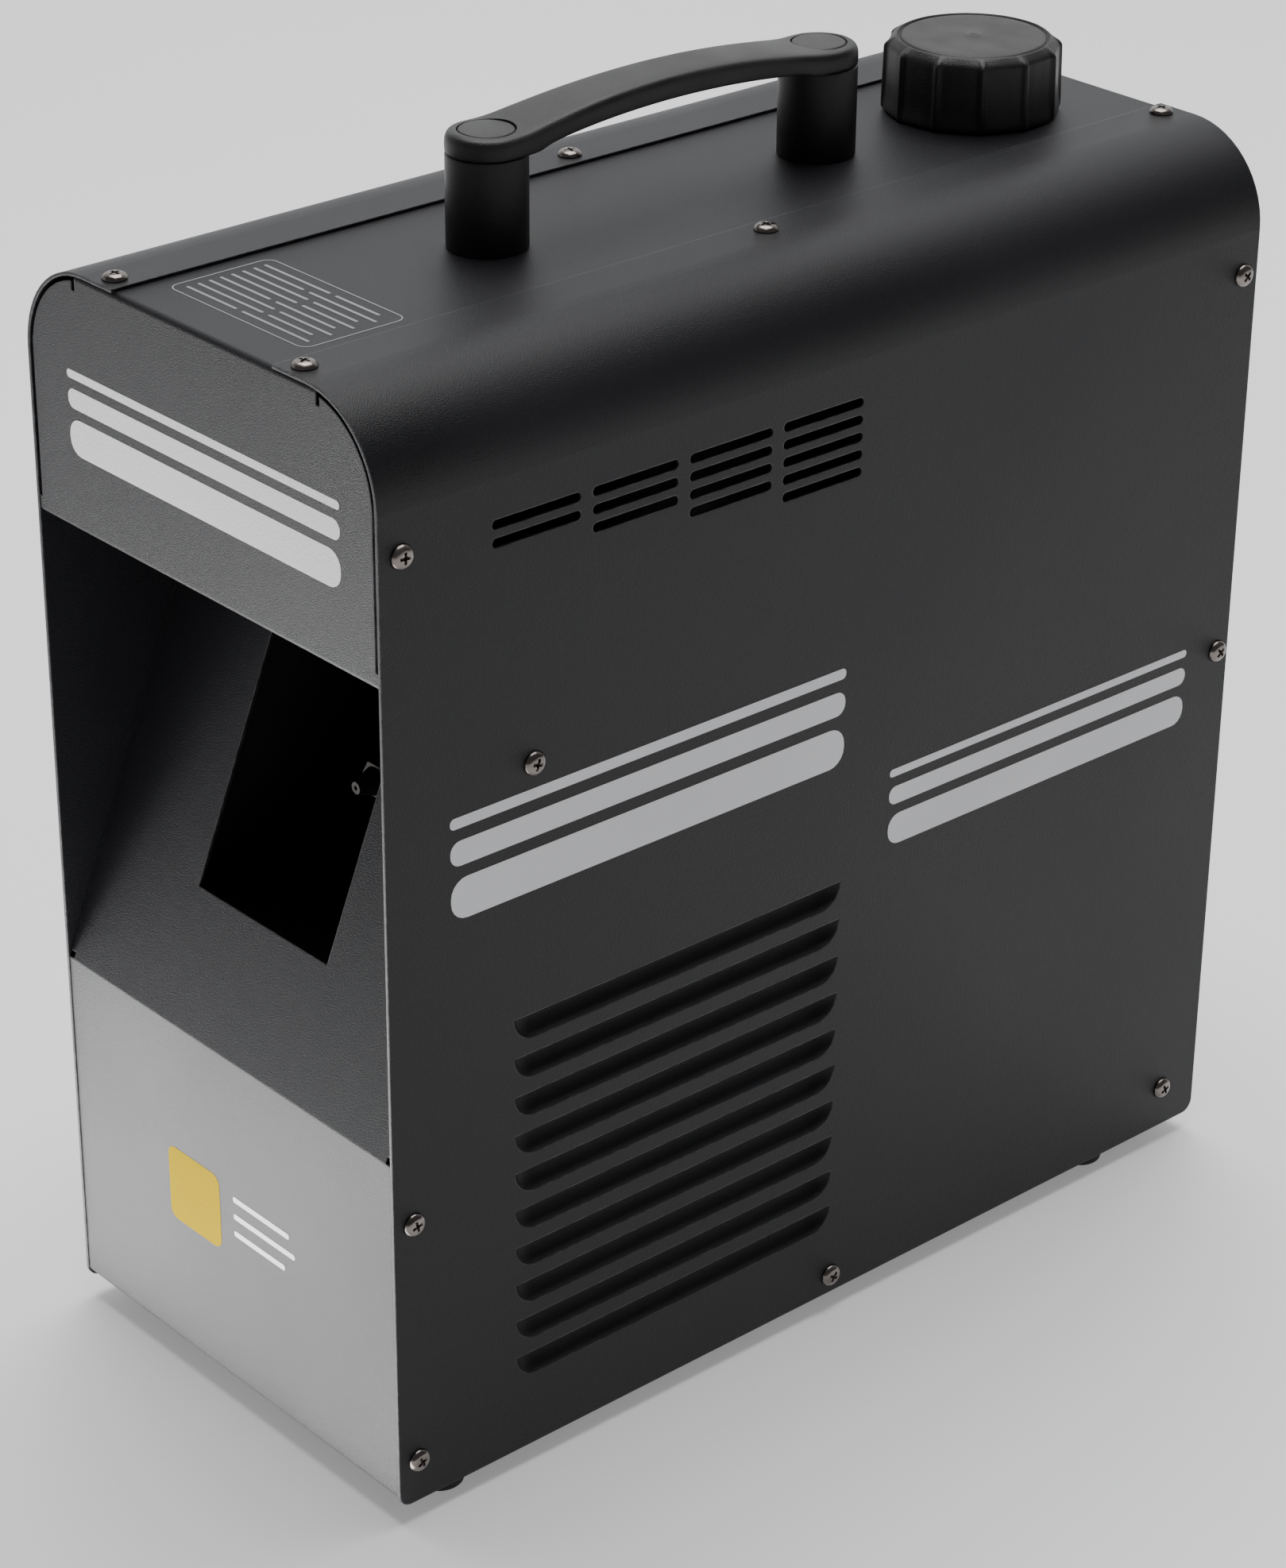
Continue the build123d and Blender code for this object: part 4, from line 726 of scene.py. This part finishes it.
plug_tall = plug_high.z - plug_low.z
PLUG_EDGE = PLUG_R - 0.0004
plug_profile = [(0.0, plug_tall - 0.0001), (PLUG_R * 0.6, plug_tall - 0.0001)]
plug_profile += [(PLUG_EDGE - 0.0004, plug_tall - 0.0002), (PLUG_EDGE, plug_tall - 0.0005)]
plug_profile += [(PLUG_EDGE, 0.0), (0.0, 0.0)]
plugs = settle(turned("plugs", plug_profile, 64), post_places)
for piece, node_name in ((grip, "handle_grip"), (plugs, "handle_plugs")):
    piece.data.materials.append(grip_plastic)
    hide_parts(node_name)
    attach(piece, "case")

# %% [markdown]
# ## Filler cap
#
# The cap is a thick moulding with twelve scooped faces, so that a gloved hand can turn it. Between the
# scoops stand narrow ribs. The scoops fade out over the rounded edge of the top, which has a fine ring and a
# pip where the plastic entered the mould. The radius is a formula of the angle, so the cage is a stack of
# rings, and the same maker closes it inside round the bore.

# %% Cap cage
cap_low, cap_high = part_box("tank_cap")
seal_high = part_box("cap_seal")[1]
CAP_R = (cap_high.x - cap_low.x) / 2 - 0.0001
CAP_Y = (cap_low.y + cap_high.y) / 2
CAP_TALL = cap_high.z - cap_low.z - 0.0003
CAP_BORE = 0.029
CAP_DEEP = seal_high.z + 0.00005 - cap_low.z
RIBS = 12
RIB_TURN = radians(21.1)
SCOOP_DEEP = 0.0019
OFFSETS = (0.0, 0.035, 0.07, 0.11, 0.17, 0.32, 0.5, 0.68, 0.83, 0.89, 0.93, 0.965)


def scoop(offset):
    """How far in a face lies at a share of the way from one rib to the next, from 0 on a rib to 1."""
    share = min(offset, 1.0 - offset)
    return 0.0 if share < 0.06 else 0.62 + 0.38 * min(1.0, share / 0.5) if share > 0.10 else 0.45


cap_angles = [(2 * pi / RIBS * (rib + offset) + RIB_TURN, offset) for rib in range(RIBS) for offset in OFFSETS]
CAP_LEVELS = [
    (CAP_BORE, CAP_DEEP, 0.0),
    (CAP_BORE, 0.0012, 0.0),
    (CAP_BORE + 0.0003, 0.0, 0.0),
    (CAP_R - 0.0006, 0.0, 0.35),
    (CAP_R - 0.0001, 0.0004, 0.40),
    (CAP_R, 0.0018, 0.48),
    (CAP_R, 0.0044, 0.80),
    (CAP_R - 0.0001, 0.0075, 1.0),
    (CAP_R - 0.0003, CAP_TALL - 0.0048, 1.0),
    (CAP_R - 0.0004, CAP_TALL - 0.0036, 0.95),
    (CAP_R - 0.0009, CAP_TALL - 0.0027, 0.84),
    (CAP_R - 0.0020, CAP_TALL - 0.0018, 0.66),
    (CAP_R - 0.0036, CAP_TALL - 0.0008, 0.30),
    (0.0276, CAP_TALL - 0.0002, 0.0),
    (0.0272, CAP_TALL - 0.0002, 0.0),
    (0.0268, CAP_TALL - 0.0013, 0.0),
    (0.0262, CAP_TALL - 0.0013, 0.0),
    (0.0258, CAP_TALL - 0.0003, 0.0),
    (0.0250, CAP_TALL - 0.0003, 0.0),
    (0.0120, CAP_TALL - 0.0003, 0.0),
    (0.0026, CAP_TALL - 0.0003, 0.0),
    (0.0020, CAP_TALL + 0.0002, 0.0),
    (0.0012, CAP_TALL + 0.0002, 0.0),
]
cap_points = []
for radius, height, scooped in CAP_LEVELS:
    for angle, offset in cap_angles:
        reach = radius - SCOOP_DEEP * scooped * scoop(offset)
        cap_points.append((reach * cos(angle), reach * sin(angle), height))
across = len(cap_angles)
cap_faces = [
    (level * across + i, level * across + (i + 1) % across,
     (level + 1) * across + (i + 1) % across, (level + 1) * across + i)
    for level in range(len(CAP_LEVELS) - 1)
    for i in range(across)
]
cap_points += [(0.0, 0.0, CAP_DEEP), (0.0, 0.0, CAP_TALL - 0.0002)]
inside_pole, top_pole = len(cap_points) - 2, len(cap_points) - 1
last = (len(CAP_LEVELS) - 1) * across
cap_faces += [((i + 1) % across, i, inside_pole) for i in range(across)]
cap_faces += [(last + i, last + (i + 1) % across, top_pole) for i in range(across)]
cap = mesh_object("filler_cap", cap_points, cap_faces)
cap_soften = cap.modifiers.new("soften", "SUBSURF")
cap_soften.levels = cap_soften.render_levels = 1
settle(cap, [Matrix.Translation((0.0, CAP_Y, cap_low.z))], 60.0)
cap.data.materials.append(cap_plastic)
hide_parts("tank_cap")
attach(cap, "cap")

# %% [markdown]
# ## Case screws
#
# The covers are held by pan-head machine screws in dark nickel. Each head is turned from a profile, and a
# tapered cross is cut in it with a Boolean. One screw is made, and copies of it are placed wherever the CAD
# screws stand: their places are read from the loose solids of that node.


# %% Where the screws stand
def loose_boxes(node_name):
    """The low and high corners of the box round each separate solid of a CAD node."""
    shells = bmesh.new()
    shells.from_mesh(nodes[node_name].data)
    bmesh.ops.remove_doubles(shells, verts=shells.verts, dist=0.00001)
    unseen = set(shells.verts)
    boxes = []
    while unseen:
        stack, shell = [unseen.pop()], []
        while stack:
            vert = stack.pop()
            shell.append(vert.co.copy())
            for edge in vert.link_edges:
                other = edge.other_vert(vert)
                if other in unseen:
                    unseen.remove(other)
                    stack.append(other)
        low = Vector([min(c[k] for c in shell) for k in range(3)])
        high = Vector([max(c[k] for c in shell) for k in range(3)])
        boxes.append((low, high))
    shells.free()
    return boxes


side_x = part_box("right_cover")[1].x
top_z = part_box("right_cover")[1].z
screw_places = []
for low, high in loose_boxes("cover_screws"):
    middle = (low + high) / 2
    twist = Matrix.Rotation(sum(middle) * 97.0, 4, "Z")
    if abs(middle.x) > side_x - 0.01:
        side = 1 if middle.x > 0 else -1
        place = Matrix.Translation((side * side_x, middle.y, middle.z))
        screw_places.append(place @ Matrix.Rotation(side * pi / 2, 4, "Y") @ twist)
    else:
        screw_places.append(Matrix.Translation((middle.x, middle.y, top_z)) @ twist)
print(len(screw_places), "case screws")

# %% Screws
HEAD_R = 0.0043
HEAD_TALL = 0.0022
SHANK_R = 0.002
head_profile = [(0.0, HEAD_TALL), (0.0016, HEAD_TALL - 0.00002)]
head_profile += [(0.0027, HEAD_TALL - 0.00018), (0.0035, HEAD_TALL - 0.0006), (0.0040, HEAD_TALL - 0.0012)]
head_profile += [(HEAD_R - 0.00008, 0.0006), (HEAD_R, 0.0003), (HEAD_R - 0.00005, 0.00005)]
head_profile += [(HEAD_R - 0.0002, 0.0)]
head_profile += [(SHANK_R, 0.0), (SHANK_R, -0.0076), (SHANK_R - 0.0004, -0.008), (0.0, -0.008)]
screws = turned("case_screws", head_profile, 40)

CROSS_HALF = 0.0025
CROSS_WIDE = 0.00062
cross_points, cross_faces = [], []
for quarter in range(2):
    turn_by = Matrix.Rotation(quarter * pi / 2, 4, "Z")
    start = len(cross_points)
    for height, reach, wide in ((HEAD_TALL + 0.0004, CROSS_HALF, CROSS_WIDE), (0.0004, 0.0009, 0.0004)):
        corners = ((-reach, -wide), (reach, -wide), (reach, wide), (-reach, wide))
        cross_points += [turn_by @ Vector((x, y, height + quarter * 0.00001)) for x, y in corners]
    cross_faces += [(start, start + 1, start + 2, start + 3), (start + 7, start + 6, start + 5, start + 4)]
    cross_faces += [(start + (i + 1) % 4, start + i, start + i + 4, start + (i + 1) % 4 + 4) for i in range(4)]
cross = mesh_object("cross", cross_points, cross_faces)
recess = screws.modifiers.new("recess", "BOOLEAN")
recess.operation = "DIFFERENCE"
recess.solver = "EXACT"
recess.use_self = True
recess.object = cross
settle(screws, screw_places, 30.0)
bpy.data.objects.remove(cross)
screws.data.materials.append(screw_nickel)
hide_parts("cover_screws")
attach(screws, "case")

# %% [markdown]
# ## Feet
#
# Four turned rubber feet taper down to the floor, each with a rounded rim and a recess for its screw.

# %% Rubber feet
foot_low, foot_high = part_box("rubber_feet")
FOOT_TOP_R = 0.010
FOOT_LOW_R = 0.0086
FOOT_TALL = foot_high.z - foot_low.z
foot_profile = [(0.0, FOOT_TALL), (FOOT_TOP_R - 0.0004, FOOT_TALL), (FOOT_TOP_R, FOOT_TALL - 0.0006)]
foot_profile += [(FOOT_TOP_R - 0.0001, FOOT_TALL * 0.6), (FOOT_LOW_R + 0.0002, 0.0012)]
foot_profile += arc((FOOT_LOW_R - 0.0008, 0.0009), 0.0009, 0.0, -90.0, 3)
foot_profile += [(0.0052, 0.0), (0.0048, 0.0005), (0.0048, 0.0048), (0.0, 0.0048)]
foot_places = [
    Matrix.Translation((x, y, foot_low.z))
    for x in (foot_low.x + FOOT_TOP_R, foot_high.x - FOOT_TOP_R)
    for y in (foot_low.y + FOOT_TOP_R, foot_high.y - FOOT_TOP_R)
]
feet = settle(turned("feet", foot_profile, 40), foot_places, 50.0)
feet.data.materials.append(foot_rubber)
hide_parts("rubber_feet")
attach(feet, "case")

# %% [markdown]
# ## Pump spring
#
# The spring stands between the pump's foot and the plunger, and it shortens by the stroke as the plunger is
# drawn down. Its wire is a tube along a helix: a ring of points for each step of the turn, closed at the ends.

# %% Pump spring
spring_low, spring_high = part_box("pump_spring")
SPRING_TURNS = 5
STEPS_A_TURN = 32
WIRE_R = 0.00068
spring_foot = Vector(((spring_low.x + spring_high.x) / 2, (spring_low.y + spring_high.y) / 2, spring_low.z))
spring_r = (spring_high.x - spring_low.x) / 2 - WIRE_R - 0.00002
spring_tall = spring_high.z - spring_low.z
spring_lead = (spring_tall - 2 * WIRE_R) / (2 * pi * SPRING_TURNS)
wire_ring = arc((0.0, 0.0), WIRE_R, 0.0, 330.0, 11)
spring_points = []
for step in range(SPRING_TURNS * STEPS_A_TURN + 1):
    angle = 2 * pi * step / STEPS_A_TURN
    outward = Vector((cos(angle), sin(angle), 0.0))
    along = Vector((-spring_r * sin(angle), spring_r * cos(angle), spring_lead)).normalized()
    centre = outward * spring_r + Vector((0.0, 0.0, WIRE_R + spring_lead * angle))
    upward = outward.cross(along)
    spring_points += [spring_foot + centre + outward * a + upward * b for a, b in wire_ring]
wire = len(wire_ring)
spring_faces = [
    (ring + i, ring + (i + 1) % wire, ring + wire + (i + 1) % wire, ring + wire + i)
    for ring in range(0, len(spring_points) - wire, wire)
    for i in range(wire)
]
spring_faces += [tuple(range(wire - 1, -1, -1)), tuple(range(len(spring_points) - wire, len(spring_points)))]
spring = mesh_object("pump_coil_spring", spring_points, [tuple(reversed(face)) for face in spring_faces])
smooth(spring.data, 50.0)
spring.data.materials.append(bare_steel)
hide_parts("pump_spring")
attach(spring, "case")
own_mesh(spring)
print("spring:", len(spring.data.polygons), "faces")

# %% [markdown]
# ## Printed marks
#
# The paint carries a few plain printed marks: stripes on the side and the front, a framed panel of lines on
# the top and a small yellow patch on the lower front. Screen ink is a film of its own on the paint, so each
# mark is a very thin solid that stands a few hundredths of a millimetre proud.


# %% Ink maker
INK = 0.00004
CLEAR = 0.00001


def rounded_bar(low, high, radius, steps=5):
    """Outline of a rounded rectangle between two corners."""
    (x0, y0), (x1, y1) = low, high
    line = arc((x1 - radius, y0 + radius), radius, -90.0, 0.0, steps)
    line += arc((x1 - radius, y1 - radius), radius, 0.0, 90.0, steps)
    line += arc((x0 + radius, y1 - radius), radius, 90.0, 180.0, steps)
    line += arc((x0 + radius, y0 + radius), radius, 180.0, 270.0, steps)
    return line


def ink(name, outlines, place, colour):
    """Prints outlines on a face. place maps an outline's x and y, and the way out of the face as z."""
    points, faces = [], []
    for outline in outlines:
        n, start = len(outline), len(points)
        points += [(x, y, 0.0) for x, y in outline] + [(x, y, INK) for x, y in outline]
        faces.append(tuple(range(start + n - 1, start - 1, -1)))
        faces.append(tuple(range(start + n, start + 2 * n)))
        faces += [
            (start + i, start + (i + 1) % n, start + n + (i + 1) % n, start + n + i) for i in range(n)
        ]
    printed = mesh_object(name, points, faces)
    printed.data.transform(place)
    printed.data.materials.append(colour)
    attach(printed, "case")
    print(name, len(outlines), "marks")
    return printed


def side_face(side):
    """Turns (y, z) outlines on to a side cover's outer face, running backwards from the front."""
    x = side * (side_x + CLEAR)
    if side > 0:
        return Matrix(((0, 0, 1, x), (1, 0, 0, 0), (0, 1, 0, 0), (0, 0, 0, 1)))
    return Matrix(((0, 0, -1, x), (-1, 0, 0, 0), (0, 1, 0, 0), (0, 0, 0, 1)))


# %% Marks on the sides
def stripes(start, end, low, heights, gap):
    """Level stripes of given heights, one above another."""
    bars = []
    for height in heights:
        bars.append(rounded_bar((start, low), (end, low + height), height * 0.45))
        low += height + gap
    return bars


right_marks = stripes(-0.173, 0.000, 0.226, (0.015, 0.009, 0.004), 0.0045)
right_marks += stripes(0.023, 0.176, 0.186, (0.012, 0.007, 0.003), 0.0040)
left_marks = stripes(0.000, 0.173, 0.226, (0.015, 0.009, 0.004), 0.0045)
left_marks += stripes(-0.176, -0.023, 0.186, (0.012, 0.007, 0.003), 0.0040)
ink("marks_right", right_marks, side_face(1), white_ink)
ink("marks_left", left_marks, side_face(-1), white_ink)

# %% Marks on the front and top
front_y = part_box("front_panel")[0].y
front_face = Matrix(((1, 0, 0, 0), (0, 0, -1, front_y - CLEAR), (0, 1, 0, 0), (0, 0, 0, 1)))
ink("marks_front", stripes(-0.071, 0.074, 0.343, (0.013, 0.007, 0.003), 0.0035), front_face, white_ink)
ink("patch", [rounded_bar((-0.036, 0.063), (-0.006, 0.093), 0.004)], front_face, yellow_ink)
SMALL_LINES = ((0.087, 0.034), (0.080, 0.037), (0.073, 0.031))
small_lines = [rounded_bar((0.002, z), (end, z + 0.0022), 0.0008, 2) for z, end in SMALL_LINES]
ink("patch_lines", small_lines, front_face, white_ink)

strip_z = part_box("top_panel")[1].z
top_face = Matrix(((1, 0, 0, 0), (0, 1, 0, 0), (0, 0, 1, strip_z + CLEAR), (0, 0, 0, 1)))
ROWS = 8
ROW_STEP = 0.0044
ROW_TALL = 0.0011
ROW_HALF = 0.032
WORD_GAP = 0.0015
text_lines = []
for row in range(ROWS):
    y = -0.1775 + row * ROW_STEP
    split = 0.004 if row % 3 else -0.004
    row_end = ROW_HALF - 0.004 * (row % 2)
    text_lines.append(rounded_bar((-ROW_HALF, y), (split - WORD_GAP, y + ROW_TALL), 0.0004, 2))
    text_lines.append(rounded_bar((split + WORD_GAP, y), (row_end, y + ROW_TALL), 0.0004, 2))
ink("label_lines", text_lines, top_face, grey_ink)


def label_frame(low, high, radius, width):
    """A rounded frame: an outer and an inner outline joined into one ring-shaped film."""
    outer = rounded_bar(low, high, radius)
    inner = rounded_bar(
        (low[0] + width, low[1] + width), (high[0] - width, high[1] - width), radius - width
    )
    n = len(outer)
    points = [(x, y, z) for z in (0.0, INK) for line in (outer, inner) for x, y in line]
    faces = []
    for i in range(n):
        j = (i + 1) % n
        faces.append((i, n + i, n + j, j))
        faces.append((2 * n + i, 2 * n + j, 3 * n + j, 3 * n + i))
        faces.append((i, j, 2 * n + j, 2 * n + i))
        faces.append((n + j, n + i, 3 * n + i, 3 * n + j))
    return points, faces


label_points, label_faces = label_frame((-0.036, -0.182), (0.036, -0.141), 0.004, 0.0005)
label = mesh_object("label_frame", label_points, label_faces)
label.data.transform(top_face)
label.data.materials.append(grey_ink)
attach(label, "case")
